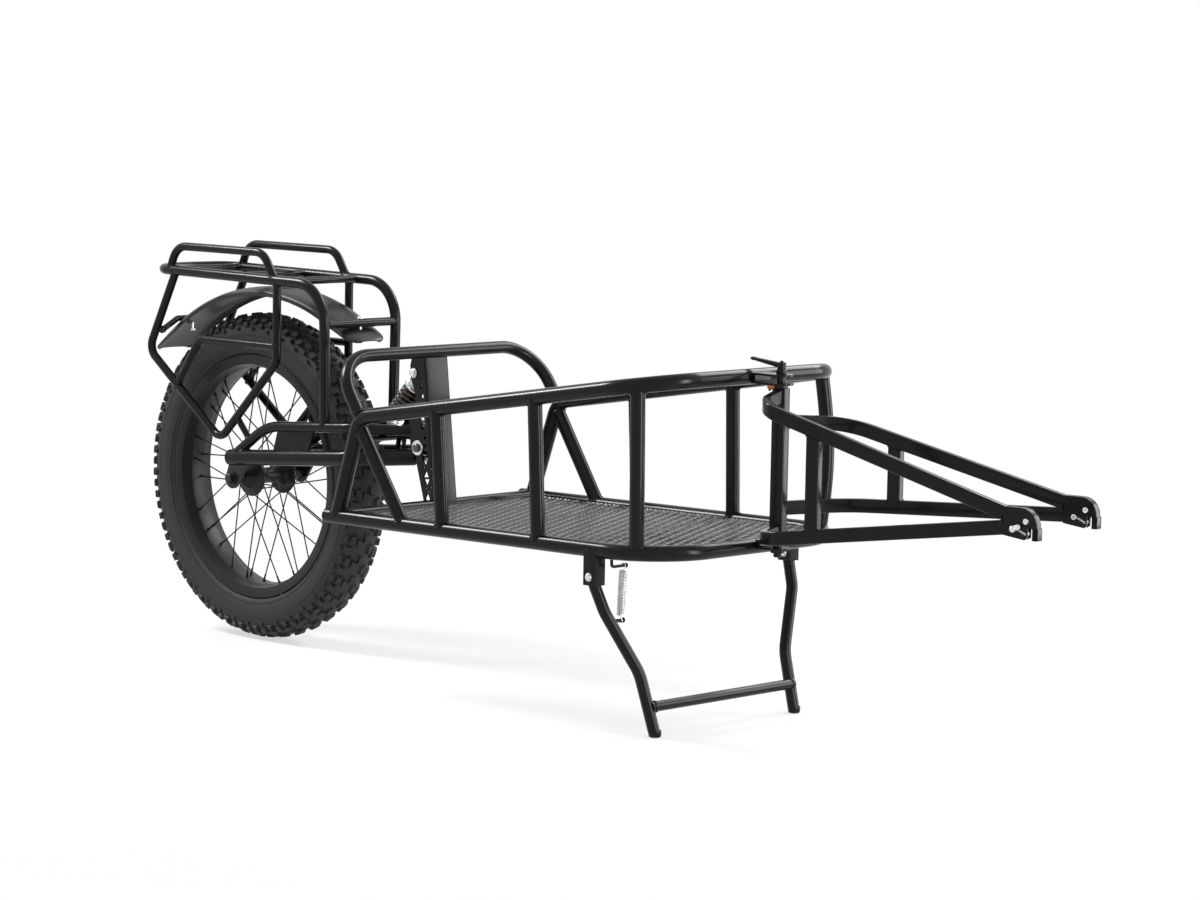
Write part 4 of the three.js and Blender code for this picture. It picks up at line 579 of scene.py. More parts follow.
def basket():
    form = Form()
    lower = both_halves((LOWER_REAR_X, LOWER_HALF, LOWER_REAR_Z), (LOWER_FRONT_X, LOWER_HALF, LOWER_FRONT_Z))
    tube(form, rounded(lower, LOWER_CORNER), RAIL, 28, caps=False)
    for _, side in SIDES:
        lathe(form, [(RAIL, 0), (RAIL - 0.4, -1.2), (RAIL - 3, -2.2), (0, -2.8)],
              (LOWER_REAR_X + 2.8, side * LOWER_HALF, LOWER_REAR_Z), (1, 0, LOWER_SLOPE), 28)
    piece("lower_rail_tube", "frame", form, PAINT, "lower_rail")

    form = Form()
    foot = (UPPER_FOOT_X, LOWER_HALF, lower_z(UPPER_FOOT_X))
    bend = (UPPER_BEND_X, UPPER_HALF, UPPER_BEND_Z)
    upper = both_halves(foot, bend, (UPPER_FRONT_X, UPPER_HALF, UPPER_FRONT_Z))
    tube(form, rounded(upper, [UPPER_BEND, UPPER_CORNER, UPPER_CORNER, UPPER_BEND]), RAIL, 28)
    weld_ends(form, upper, RAIL - 0.2, (1, 0, LOWER_SLOPE), RAIL)
    piece("upper_rail_tube", "frame", form, PAINT, "upper_rail")

    form = Form()
    hoop = both_halves(bend, (HOOP_X, HOOP_HALF, HOOP_Z))
    tube(form, rounded(hoop, HOOP_CORNER), HOOP_RADIUS, 24)
    weld_ends(form, hoop, HOOP_RADIUS, (1, 0, UPPER_RISE), RAIL)
    piece("seat_hoop_tube", "frame", form, PAINT, "seat_hoop")

    form = Form()
    cross_rod(form, CROSS_X, CROSS_Z, LOWER_HALF, CROSS_RADIUS, 24)
    for _, side in SIDES:
        y = side * LOWER_HALF
        weld(form, (CROSS_X, y, CROSS_Z), (0, -side, 0), CROSS_RADIUS, (1, 0, LOWER_SLOPE), RAIL,
             host_point=(CROSS_X, y, lower_z(CROSS_X)))
    piece("floor_cross_tube", "frame", form, PAINT, "rear_floor_cross")


def post(label, name, side, foot_x, top_x, bow, parts=16):
    lower, upper = (LOWER_FRONT_X, LOWER_CORNER, LOWER_HALF), (UPPER_FRONT_X, UPPER_CORNER, UPPER_HALF)
    foot = Vector((foot_x, side * corner_y(*lower, foot_x), lower_z(foot_x)))
    top = Vector((top_x, side * corner_y(*upper, top_x), upper_z(top_x)))
    outward = Vector((1, side, 0)).normalized()
    shares = [i / parts for i in range(parts + 1)]
    stations = [foot.lerp(top, share) + outward * bow * math.sin(math.pi * share) for share in shares]
    form = Form()
    tube(form, stations, POST, 24)
    weld(form, foot, stations[1] - foot, POST, rail_direction(*lower, foot_x, side, LOWER_RISE), RAIL)
    weld(form, top, stations[-2] - top, POST, rail_direction(*upper, top_x, side, UPPER_RISE), RAIL)
    piece(f"{label}_post_tube_{name}", "frame", form, PAINT, f"{label}_post_{name}")


def rear_brace(name, side):
    share = share_of(BRACE_TOP_X, UPPER_FOOT_X, UPPER_BEND_X)
    top = Vector((BRACE_TOP_X, side * mix(LOWER_HALF, UPPER_HALF, share), BRACE_TOP_Z))
    foot = Vector((BRACE_FOOT, side * LOWER_HALF, lower_z(BRACE_FOOT)))
    rail = Vector((UPPER_BEND_X - UPPER_FOOT_X, side * (UPPER_HALF - LOWER_HALF), UPPER_BEND_Z - CROSS_Z))
    form = Form()
    rod(form, top, foot, POST, 24)
    weld(form, foot, top - foot, POST, (1, 0, LOWER_RISE), RAIL)
    weld(form, top, foot - top, POST, rail, RAIL)
    piece(f"rear_brace_tube_{name}", "frame", form, PAINT, f"rear_brace_{name}")


def floor_lift(x, y, z):
    return Vector((x, y, LOWER_REAR_Z + (x - LOWER_REAR_X) * LOWER_RISE + MESH_LIFT + z))


def strand(form, stations):
    """One ridged strand of the floor; a station is (x, y, rise)."""
    half, land = STRAND_WIDE / 2, 0.4
    section = [(-half, 0), (half, 0), (half, land), (land, STRAND_THICK), (-land, STRAND_THICK),
               (-half, land)]
    points = [floor_lift(x + u, y, v + rise) for x, y, rise in stations for u, v in section]
    form.add(points, bands(len(stations), len(section)) + ends(len(stations), len(section)))


def floor_panel():
    """Expanded metal: zigzag strands across the floor, joined where they meet, in a flat border strip."""
    form = Form()
    edge = RAIL + MESH_GAP
    rear, front = CROSS_X + CROSS_RADIUS + MESH_GAP, LOWER_FRONT_X - edge
    half, corner = LOWER_HALF - edge, LOWER_CORNER - edge
    pitch, quarter = MESH_SHORT / 2, MESH_LONG / 4
    swing = (pitch - STRAND_WIDE * 0.55) / 2
    for row in range(int((front - rear) / pitch)):
        middle = rear + pitch * (row + 0.5)
        reach = corner_y(front, corner, half, middle)
        steps = math.ceil(reach / quarter) - 1
        zigzag = []
        for step in range(-steps, steps + 1):
            wave = (0, 1, 0, -1)[step % 4]
            zigzag.append((middle + wave * swing * (-1) ** row, step * quarter, -wave * STRAND_TWIST))
        strand(form, [(zigzag[0][0], -reach - 1, 0), *zigzag, (zigzag[-1][0], reach + 1, 0)])

    outline, inner = [(rear, -half)], [(rear + BORDER, BORDER_SIDE - half)]
    for centre_y, start in ((corner - half, -math.pi / 2), (half - corner, 0)):
        for across, ahead in arc(0, 0, 1, start, math.pi / 2, 12):
            reach = corner - mix(BORDER_SIDE, BORDER, max(across, 0))
            outline.append((front - corner + corner * across, centre_y + corner * ahead))
            inner.append((front - corner + reach * across, centre_y + reach * ahead))
    outline.append((rear, half))
    inner.append((rear + BORDER, half - BORDER_SIDE))
    plate(form, [outline, inner], 0, STRAND_THICK, floor_lift)
    piece("expanded_metal_floor", "frame", form, MESH_PAINT_AND_SHEEN, "floor_mesh", sharp=20)


# Mast

# Round holes are (height, radius), triangles (height, size, way up) and small holes (height, inset)
ROUND_HOLES = ((596, 4), (581, 4.5), (562, 4.5), (546, 5), (477, 4), (462, 3.5))
TRIANGLES = ((521, 17, 1), (500, 19, -1), (431, 25, -1), (404, 20, 1), (388, 20, -1), (360, 17, 1))
SMALL_HOLES = ((415, 8), (418, 27), (378, 10), (375, 26), (369, 18))
MAST_EAR, MAST_EAR_REACH = 14, 10


def mast_front(z):
    return mix(MAST_FOOT_X, MAST_TOP_X, share_of(z, MAST_FOOT_Z, MAST_TOP_Z))


def mast_outline():
    ear = mast_front(SHOCK_TOP.z) - SHOCK_TOP.x + MAST_EAR_REACH
    rear_edge = [(MAST_FOOT_Z, 32), (PIVOT_Z - 37, 46.5), (PIVOT_Z, 62), (PIVOT_Z + 62, 62),
                 (SHOCK_TOP.z - 50, 33), (SHOCK_TOP.z - MAST_EAR, ear), (SHOCK_TOP.z + MAST_EAR, ear),
                 (MAST_TOP_Z, 40)]
    corners = [(mast_front(z) - MAST_BEND, z) for z in (MAST_FOOT_Z, MAST_TOP_Z)]
    corners += [(mast_front(z) - depth, z) for z, depth in reversed(rear_edge)]
    return soft_loop(corners, [0, 0, 6, 16, 16, 26, 30, 26, 26, 0])


def mast_holes():
    """The mast's holes, from their heights and sizes."""
    holes = [circle(radius, 14, mast_front(z) - 17, z) for z, radius in ROUND_HOLES]
    for z, size, way in TRIANGLES:
        x, half, reach = mast_front(z) - 21, size / 2, size / 2 * way
        corners = [(x - half, z - reach), (x + half, z - reach), (x, z + reach)]
        holes.append(soft_loop(corners, size * 0.16, 3))
    return holes + [circle(2.6, 10, mast_front(z) - inset, z) for z, inset in SMALL_HOLES]


def mast():
    form = Form()
    for _, side in SIDES:
        side_plate(form, [mast_outline(), *mast_holes()], side * (MAST_HALF - MAST_WALL / 2), MAST_WALL)
    rings = []
    for reach in (MAST_BEND, MAST_BEND - MAST_WALL):
        right = arc(-MAST_BEND, MAST_BEND - MAST_HALF, reach, -math.pi / 2, math.pi / 2, 6)
        left = arc(-MAST_BEND, MAST_HALF - MAST_BEND, reach, 0, math.pi / 2, 6)
        rings.append(right + left)
    loop = rings[0] + rings[1][::-1]
    count = len(loop)
    faces = bands(2, count)
    for base in (0, count):
        last = base + count - 1
        faces += [(base + k, base + k + 1, last - 1 - k, last - k) for k in range(count // 2 - 1)]
    form.add([(mast_front(z) + ahead, y, z) for z in (MAST_FOOT_Z, MAST_TOP_Z) for ahead, y in loop], faces)
    piece("perforated_mast", "frame", form, PAINT, "mast", sharp=32, bevel=0.45)


def mast_bolts():
    washers, pivot, shock_bolt = Form(), Form(), Form()
    for _, side in SIDES:
        out, seat = (0, side, 0), side * (MAST_HALF + 0.3)
        lathe(washers, [(PIVOT_BOLT, 0), (15, 0), (15.4, 0.7), (15.4, 2.3), (15, 3), (PIVOT_BOLT, 3)],
              (PIVOT_X, seat, PIVOT_Z), out, 40, closed=True)
        bolt_head(pivot, (PIVOT_X, seat + side * 3, PIVOT_Z), out, PIVOT_BOLT, 6.4)
        lathe(shock_bolt, [(SHOCK_BOLT, 0), (10, 0), (10, 2), (SHOCK_BOLT, 2)],
              (SHOCK_TOP.x, seat, SHOCK_TOP.z), out, 28, closed=True)
        bolt_head(shock_bolt, (SHOCK_TOP.x, seat + side * 2, SHOCK_TOP.z), out, 8.5, 5)
    cross_rod(pivot, PIVOT_X, PIVOT_Z, MAST_HALF, PIVOT_BOLT, 24)
    cross_rod(shock_bolt, SHOCK_TOP.x, SHOCK_TOP.z, MAST_HALF, SHOCK_BOLT)
    piece("pivot_washers", "frame", washers, ZINC, sharp=30)
    piece("pivot_bolt_heads", "frame", pivot, DARK_STEEL, "pivot_bolt", sharp=30, bevel=0.3)
    piece("shock_bolt_heads", "frame", shock_bolt, ZINC, "shock_bolt", sharp=30, bevel=0.3)


# Swinging fork


def swing_z(x):
    return mix(SWING_REAR_Z, SWING_BEND_Z, share_of(x, SWING_REAR_X, SWING_BEND_X))


def flattened(form, stations, radius, sides, start, end, wide, high):
    """A tube that is pressed flat between two places in X."""
    scales = []
    for station in stations:
        share = min(max(share_of(station.x, start, end), 0), 1)
        scales.append((mix(1, wide, share), mix(1, high, share)))
    sweep(form, circle(radius, sides), stations, Vector((0, 0, 1)), scales)


def swing_arm(name, side):
    form = Form()
    y, nose_y = side * SWING_HALF, side * SWING_NOSE_HALF
    lower = rounded([(SWING_REAR_X, y, SWING_REAR_Z), (SWING_BEND_X, y, SWING_BEND_Z),
                     (PIVOT_X, nose_y, SWING_NOSE_Z)], 60)
    upper = rounded([(STRUT_REAR_X, y, STRUT_REAR_Z), (STRUT_BEND[0], y, STRUT_BEND[1]),
                     (STRUT_FRONT[0], y, STRUT_FRONT[1]), (STRUT_NOSE[0], nose_y, STRUT_NOSE[1])], [150, 60])
    lower = trimmed(lower, PIVOT_X - 14)
    lathe(form, [(SWING_RADIUS, 0), (16.4, -1.4), (13.5, -2.6), (0, -3)], (SWING_REAR_X + 3, y, SWING_REAR_Z),
          (1, 0, SWING_SLOPE), 28)
    flattened(form, lower, SWING_RADIUS, 28, SWING_FLAT_FROM, PIVOT_X - 10, 0.55, 0.98)
    flattened(form, upper, STRUT_RADIUS, 24, STRUT_FLAT_FROM, PIVOT_X - 17, 0.7, 1)
    weld(form, upper[0], upper[3] - upper[0], STRUT_RADIUS, lower[3] - lower[0], SWING_RADIUS,
         host_point=lower[0])
    gusset = [(x, swing_z(x)) for x in GUSSET_FEET] + [(x, GUSSET_TOP_Z) for x in GUSSET_TOPS]
    side_plate(form, [soft_loop(gusset, 3)], y, GUSSET_WALL)
    side_plate(form, [box_loop(*NOSE_PLATE)], nose_y, GUSSET_WALL)
    piece(f"swing_arm_tubes_{name}", "fork", form, PAINT, f"swing_arm_{name}")


def pivot_tube():
    form = Form()
    bore, outer, half = 9.6, 17, 25
    lathe(form, [(bore, -half), (outer, -half), (outer, half), (bore, half)], (PIVOT_X, 0, PIVOT_Z),
          segments=36, closed=True)
    holes = []
    low, high = WEB_HOLES
    for x in [PIVOT_X - outer - WEB_HOLE_STEP * (i + 0.75) for i in range(3)]:
        holes.append(soft_loop([(x - 11, low), (x + 11, low), (x + 7, high), (x - 7, high)], 3, 3))
    side_plate(form, [box_loop(*WEB), *holes], 0, GUSSET_WALL)
    piece("pivot_barrel_and_web", "fork", form, PAINT, "pivot_tube", bevel=0.4)


def shock_carrier():
    form = Form()
    x, eye_z = SHOCK_FOOT.x, SHOCK_FOOT.z
    corners = [(x - 12, CARRIER_Z), (x + 12, CARRIER_Z), (x + 8, eye_z + 8), (x - 8, eye_z + 8)]
    ear = soft_loop(corners, [0, 0, 7, 7])
    cross_rod(form, x, CARRIER_Z, CARRIER_HALF, CARRIER_RADIUS, 24)
    for _, side in SIDES:
        side_plate(form, [ear], side * 14.5, 4)
        bolt_head(form, (x, side * 12.5, eye_z), (0, side, 0), 4.9, 4)
    cross_rod(form, x, eye_z, 16.5, SHOCK_BOLT)
    piece("shock_carrier_bar", "fork", form, PAINT, "shock_carrier", bevel=0.3)


def dropouts():
    foot = arc(0, AXIS_Z, DROPOUT_RADIUS, math.pi, math.pi * 0.85, 15)
    outline = [(DROPOUT_REAR_X, SWING_REAR_Z), *foot, (DROPOUT_FRONT_X, SWING_REAR_Z)]
    for name, side in SIDES:
        form = Form()
        side_plate(form, [outline], side * SWING_HALF, DROPOUT_WALL)
        piece(f"dropout_{name}", "fork", form, CAST, f"dropout_plate_{name}", bevel=0.8)
    form = Form()
    cross_rod(form, 0, AXIS_Z, SWING_HALF + 3, 6)
    for _, side in SIDES:
        seat = Vector((0, side * (SWING_HALF + 3.3), AXIS_Z))
        lathe(form, [(6, 0), (14, 0), (15, 0.6), (15, 2), (6, 2)], seat, (0, side, 0), 36, closed=True)
        bolt_head(form, seat + Vector((0, side * 2, 0)), (0, side, 0), 11, 10)
    piece("axle_and_nuts", "fork", form, CAST, "axle", sharp=30, bevel=0.4)


# Wheel

TYRE_PROFILE = smooth_curve([(261, 34), (262, 39), (268, 44), (281, 48.6), (297, TYRE_HALF), (313, 47.5),
                             (326, 40.5), (336, 28), (342, 14), (TYRE_RADIUS, 0)], 3)
TYRE_RIBS = ((272, 46, 0.8), (303, 49.6, 0.5))
BLOCK_ROWS, BLOCK_SINK = 84, 2.5
SPOKE_PAIRS, SPOKE_CROSS, SPOKE_RADIUS = 18, 2.2, 1.4


def casing_radius(y):
    """How far the casing stands from the axle at a place across its tread."""
    for (radius, far), (ahead, near) in zip(TYRE_PROFILE[::-1][1:], TYRE_PROFILE[::-1]):
        if near <= abs(y) <= far:
            return mix(ahead, radius, share_of(abs(y), near, far))
    return TYRE_RADIUS


def block(form, angle, y, long, wide, tall, skew=0.0, taper=0.86, lean=0.0):
    """One tread block, standing on the casing and following its curve."""
    across = Vector((0, 1, 0))
    out = turned(Vector((1, 0, 0)), Vector((0, 0, 1)), angle)
    forward = turned(Vector((0, 0, 1)), Vector((-1, 0, 0)), angle)
    slope = math.atan2(casing_radius(abs(y) - 4) - casing_radius(abs(y) + 4), 8) * (1 if y > 0 else -1)
    up = turned(out, across, slope + lean)
    side = forward.cross(up)
    centre = AXLE + out * (casing_radius(y) - BLOCK_SINK) + across * y
    points = []
    for level, size in ((0, 1.12), (tall + BLOCK_SINK, taper)):
        for a, b in ((-1, -1), (1, -1), (1, 1), (-1, 1)):
            ahead, aside = a * long / 2 * size + skew * b, b * wide / 2 * size
            points.append(centre + up * level + forward * ahead + side * aside)
    form.add(points, ends(2, 4) + bands(2, 4))


def tyre():
    form = Form()
    lathe(form, TYRE_PROFILE + mirrored(TYRE_PROFILE[:-1]), AXLE, segments=128)
    for _, side in SIDES:
        for radius, y, size in TYRE_RIBS:
            rib = [(1.6, -1), (1, size), (-1, size), (-1.6, -1)]
            lathe(form, [(radius + size * out, side * (y + high)) for out, high in rib], AXLE, segments=128)
    piece("tyre_casing", "wheel", form, TREAD_RUBBER, "tyre", sharp=50)

    form = Form()
    step = math.tau / BLOCK_ROWS
    for i in range(BLOCK_ROWS):
        turn = step * i
        way = 1 if i % 2 else -1
        block(form, turn, way * 7, 19, 12, KNOB - 0.3, skew=way * 1.8, taper=0.9)
        block(form, turn + step * 0.5, way * -20, 18, 11, KNOB + 0.2, skew=way * -1.6, taper=0.9)
        for side, phase in ((RIGHT, 0.8), (LEFT, 0.3)):
            at = turn + step * phase
            if (i + (side > 0)) % 2:
                block(form, at, side * 31, 17, 12, KNOB + 0.8, taper=0.9, lean=side * 0.08)
                block(form, at, side * 41, 15, 9, KNOB - 0.2, skew=1, lean=side * 0.18)
            else:
                block(form, at, side * 36, 15, 13, KNOB + 0.9, skew=-1, taper=0.9, lean=side * 0.12)
                block(form, at, side * 45, 9, 6, 3.8, lean=side * 0.25)
    piece("tyre_tread", "wheel", form, TREAD_RUBBER, sharp=30, bevel=0.9)


def rim():
    form = Form()
    near_lip = [(RIM_LIP, RIM_HALF), (RIM_LIP + 1.4, RIM_HALF - 1.6), (RIM_LIP - 1, RIM_HALF - 3.2)]
    seat = [(RIM_EYE + 8, RIM_HALF - 3.2), (RIM_EYE + 3, RIM_HALF - 6), (RIM_WELL + 4, RIM_WELL_HALF + 2)]
    under = [(RIM_EYE + 6, -RIM_HALF), (RIM_EYE + 4.6, 1 - RIM_HALF), (RIM_EYE, 1.6 - RIM_HALF),
             (RIM_EYE - 1.2, 4 - RIM_HALF), (RIM_EYE - 2.4, 14 - RIM_HALF), (RIM_WELL + 1, -RIM_WELL_HALF),
             (RIM_WELL, 4 - RIM_WELL_HALF)]
    right = mirrored(near_lip) + under
    profile = [*smooth_curve(near_lip, 3), *seat, *mirrored(seat), *right, *mirrored(right)]
    lathe(form, profile, AXLE, segments=128, closed=True)
    piece("rim_hoop", "wheel", form, RIM_COAT, "rim", sharp=42)


def hub_and_spokes():
    hub = Form()
    shell = [(6.5, -91), (12, -91), (13, -90), (13, -72), (15, -71), (20, -62), (24, -54),
             (FLANGE - 2, -46.5), (FLANGE, -FLANGE_AT), (FLANGE, -42), (FLANGE - 1.5, -40), (27, -37),
             (20, -28), (17, -18)]
    lathe(hub, shell + mirrored(shell), AXLE, segments=56, closed=True)
    piece("hub_shell", "wheel", hub, RIM_COAT, sharp=34)

    form = Form()
    ahead, up = Vector((1, 0, 0)), Vector((0, 0, 1))
    for side in (RIGHT, LEFT):
        for i in range(SPOKE_PAIRS):
            turn = 1 if i % 2 == 0 else -1
            start = math.tau * (i + (0.5 if side > 0 else 0)) / SPOKE_PAIRS
            end = start + math.tau * SPOKE_CROSS * turn / SPOKE_PAIRS
            root_y, tip_y = side * (FLANGE_AT - FLANGE_WALL / 2 + 2 * turn), side * (9 + 2 * turn)
            root = AXLE + turned(ahead, up, start) * HOLE_CIRCLE + Vector((0, root_y, 0))
            tip = AXLE + turned(ahead, up, end) * RIM_WELL + Vector((0, tip_y, 0))
            rod(form, root, tip, SPOKE_RADIUS, 8)
            lathe(form, [(1.3, -15), (2.1, -14), (2.1, -3), (3.2, -2.2), (3.4, 0)], tip, tip - root, 8)
            lathe(form, [(0, -1.4), (2.1, -1.2), (2.5, 0)], root + Vector((0, side * turn * 0.6, 0)),
                  (0, -side * turn, 0), 8)
    piece("spokes_and_nipples", "wheel", form, SPOKE_OXIDE, "hub_and_spokes", sharp=40)


def valve():
    form = Form()
    stem = [(3.2, 4), (3.2, -16), (2.7, -17), (2.7, -20), (4.2, -20.5), (4.2, -31), (3.4, -32.5), (0, -33)]
    for profile in (stem, [(4, 0), (5.6, -1), (5.6, -3), (3.4, -3.6)]):
        lathe(form, profile, (0, 0, AXIS_Z + RIM_WELL), (0, 0, 1), 20)
    piece("tyre_valve", "wheel", form, SOFT_RUBBER, "valve")


# Coil-over shock

SHOCK_EYE = [(5.4, -12), (9.4, -12), (10, -11.2), (10, 11.2), (9.4, 12), (5.4, 12)]
COIL_WIRE, COIL_RADIUS, COIL_CURLS, COIL_STEPS = 3.7, 18.5, 7, 28


def shock():
    axis, side, other = basis(SHOCK_FOOT - SHOCK_TOP)
    length = (SHOCK_FOOT - SHOCK_TOP).length
    form = Form()
    lathe(form, SHOCK_EYE, SHOCK_TOP, closed=True)
    lathe(form, [(0, 8), (12, 8), (14, 11), (14, 15), (18, 16), (19, 18), (19, 23), (18, 25), (19, 27),
                 (19, 32), (18, 34), (16, 34.5), (16, 39), (22.4, 39.2), (24, 40.4), (24, 42.8), (22, 44),
                 (6.6, 44)], SHOCK_TOP, axis, 40)
    piece("shock_head", "shock_upper", form, SILVER, sharp=30)
    form = Form()
    lathe(form, [(6.6, 44), (13.2, 44), (13.6, 45.5), (13.6, 66), (14, 67), (14, 74), (13.4, 75), (13.4, 86),
                 (12.6, 88), (6.6, 88)], SHOCK_TOP, axis, 36, closed=True)
    piece("shock_sleeve", "shock_upper", form, COPPER, "shock_body", sharp=30)
    form = Form()
    lathe(form, SHOCK_EYE, SHOCK_FOOT, closed=True)
    lathe(form, [(0, 8), (9, 8), (10, 10), (10, 18), (22, 19.2), (24, 20.4), (24, 22.8), (22, 24), (7, 24),
                 (5, 26), (5, length - 62), (0, length - 61)], SHOCK_FOOT, -axis, 36)
    piece("shock_shaft_and_seat", "shock_lower", form, SILVER, "shock_shaft", sharp=30)

    form = Form()
    start, end = 44.3 + COIL_WIRE, length - 24.3 - 8
    total = COIL_CURLS * COIL_STEPS
    stations = []
    for i in range(total + 1):
        turn = i / COIL_STEPS
        free = min(turn / 0.8, (COIL_CURLS - turn) / 0.8, 1)
        nearest = start if i < total / 2 else end
        rise = mix(nearest, mix(start, end, i / total), 0.35 + 0.65 * free)
        stations.append(SHOCK_TOP + axis * rise + turned(side, other, math.tau * turn) * COIL_RADIUS)
    tube(form, stations, COIL_WIRE, 12)
    coil = piece("shock_coil", "shock_upper", form, COIL_BLACK, "shock_spring", sharp=50)
    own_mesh(coil)


# Rack and fender


def rack_z(x):
    return mix(RACK_REAR_Z, RACK_FRONT_Z, share_of(x, RACK_REAR_X, RACK_FRONT_X))


def rack():
    form = Form()
    deck = (1, 0, RACK_SLOPE)
    loop = both_halves((RACK_FRONT_X, RACK_FOOT_HALF, RACK_FOOT_Z), (RACK_FRONT_X, RACK_HALF, RACK_FRONT_Z),
                       (RACK_REAR_X, RACK_HALF, RACK_REAR_Z))
    loop.insert(3, (RACK_REAR_X - RACK_BOW, 0, RACK_REAR_Z))
    tube(form, rounded(loop, [85, 46, 200, 46, 85]), RACK_RADIUS, 24)
    for x in RACK_BARS:
        weld_bar(form, x, rack_z(x), RACK_HALF, RACK_BAR, deck, RACK_RADIUS, 1.7)
    for _, side in SIDES:
        foot = (RACK_FRONT_X, side * RACK_FOOT_HALF, RACK_FOOT_Z)
        weld(form, foot, (0, 0, 1), RACK_RADIUS, (1, 0, 0.07), STRUT_RADIUS, 1.9)
    piece("rack_tubes", "fork", form, PAINT, "rack")
    form = Form()
    weld_bar(form, RACK_FRONT_X, CROSSBAR_Z, RACK_HALF, SIDE_TUBE, (0, 0, 1), RACK_RADIUS, 1.8)
    piece("rack_crossbar_tube", "fork", form, PAINT, "rack_crossbar")
    for name, side in SIDES:
        form = Form()
        rear, front = [(x, side * RACK_HALF, rack_z(x)) for x in SIDE_HOOP_X]
        tops = [(x, side * RACK_HALF, SIDE_HOOP_Z) for x in SIDE_HOOP_TOP_X]
        hoop = rounded([rear, *tops, front], SIDE_HOOP_CORNER)
        tube(form, hoop, SIDE_TUBE, 20)
        weld_ends(form, hoop, SIDE_TUBE, deck, RACK_RADIUS, 1.8)
        piece(f"side_hoop_tube_{name}", "fork", form, PAINT, f"side_hoop_{name}")
        pannier_frame(name, side, deck)


def pannier_frame(name, side, deck):
    form = Form()
    y = side * RACK_HALF
    front_x = PANNIER_FRONT[0]
    route = [(PANNIER_TOP_X, rack_z(PANNIER_TOP_X)), PANNIER_REAR, PANNIER_FOOT, PANNIER_FRONT,
             (front_x, rack_z(front_x))]
    loop = rounded([(x, y, z) for x, z in route], PANNIER_CORNER)
    tube(form, loop, SIDE_TUBE, 20)
    weld_ends(form, loop, SIDE_TUBE, deck, RACK_RADIUS, 1.8)
    route = [(front_x, PANNIER_BAR_Z), (PANNIER_BAR_BEND_X, PANNIER_BAR_Z), PANNIER_BAR_END]
    bar = rounded([(x, y, z) for x, z in route], PANNIER_CORNER)
    tube(form, bar, PANNIER_BAR, 18)
    weld(form, bar[0], (-1, 0, 0), PANNIER_BAR, (0, 0, 1), SIDE_TUBE, 1.6)
    slant = (PANNIER_FOOT[0] - PANNIER_REAR[0], 0, PANNIER_FOOT[1] - PANNIER_REAR[1])
    weld(form, bar[-1], bar[-2] - bar[-1], PANNIER_BAR, slant, SIDE_TUBE, 1.6,
         host_point=(PANNIER_BAR_END[0], y, PANNIER_BAR_HOST_Z))
    (top_x, top_z), (foot_x, foot_z) = PANNIER_STRUT, PANNIER_STRUT_FOOT
    top, foot = Vector((top_x, y, top_z)), Vector((foot_x, side * SWING_HALF, foot_z))
    rod(form, top, foot, PANNIER_STRUT_RADIUS)
    weld(form, foot, top - foot, PANNIER_STRUT_RADIUS, (110, 0, 60), STRUT_RADIUS, 1.5,
         host_point=(foot_x, side * SWING_HALF, STRUT_HOST_Z))
    piece(f"pannier_frame_tube_{name}", "fork", form, PAINT, f"pannier_frame_{name}")


def crown_z(x, grow=0.0):
    return FENDER_Z + math.sqrt((FENDER_RADIUS + grow) ** 2 - (x - FENDER_X) ** 2)


def fender_section():
    """The outer and the inner line across the fender, as (across, out) places."""
    half, skirt, crown = FENDER_HALF, 12, 6
    right = [(-half, -crown - skirt), (-half + 0.2, -crown - 7), (-half + 3.5, -crown - 2), (-36, -2.4),
             (-18, -0.3)]
    outside = smooth_curve([*right, (0, 0.2), *[(-u, v) for u, v in reversed(right)]], 3)
    left = [(half - 2.8, -crown - 7), (half - 6, -crown - 4), (34, -5.4)]
    inside = smooth_curve([*left, (0, -3), *[(-u, v) for u, v in reversed(left)]], 3)
    lips = [(half - 0.9, -crown - skirt - 1), (half - 2.4, -crown - skirt)]
    return outside, lips + inside + [(-u, v) for u, v in reversed(lips)]


def fender():
    form = Form()
    outside, inside = fender_section()
    outer, inner = len(outside), len(inside)
    count = outer + inner
    arc_length = (FENDER_END - FENDER_START) * FENDER_RADIUS
    near_end = [0, 1.2, 3.5, 7, 11, 16, 22, 29, 37, 47, 58, 70]
    between = [70 + (arc_length - 140) * i / 44 for i in range(1, 44)]
    places = near_end + between + [arc_length - distance for distance in reversed(near_end)]
    points = []
    for distance in places:
        out = turned(Vector((1, 0, 0)), Vector((0, 0, 1)), FENDER_START + distance / FENDER_RADIUS)
        station = Vector((FENDER_X, 0, FENDER_Z)) + out * FENDER_RADIUS
        end, corner = (distance, 30) if distance < arc_length / 2 else (arc_length - distance, 14)
        narrow = (FENDER_HALF - corner + math.sqrt(corner ** 2 - max(corner - end, 0) ** 2)) / FENDER_HALF
        drop = mix(0.25, 1, min(end / 75, 1) ** 0.6)
        for line, inward in ((outside, 0), (inside, 2.6)):
            for u, v in line:
                points.append(station + Vector((0, u * narrow, 0)) + out * ((v + inward) * drop - inward))
    faces = bands(len(places), count)
    for base in (0, (len(places) - 1) * count):
        facing = [base + max(count - 1 - int(k * (inner - 1) / (outer - 1)), outer) for k in range(outer)]
        for k in range(outer - 1):
            pair = dict.fromkeys((facing[k + 1], facing[k]))
            faces.append((base + k, base + k + 1, *pair))
    form.add(points, faces)
    piece("fender_shell", "fork", form, MOULDED, "fender", sharp=40)


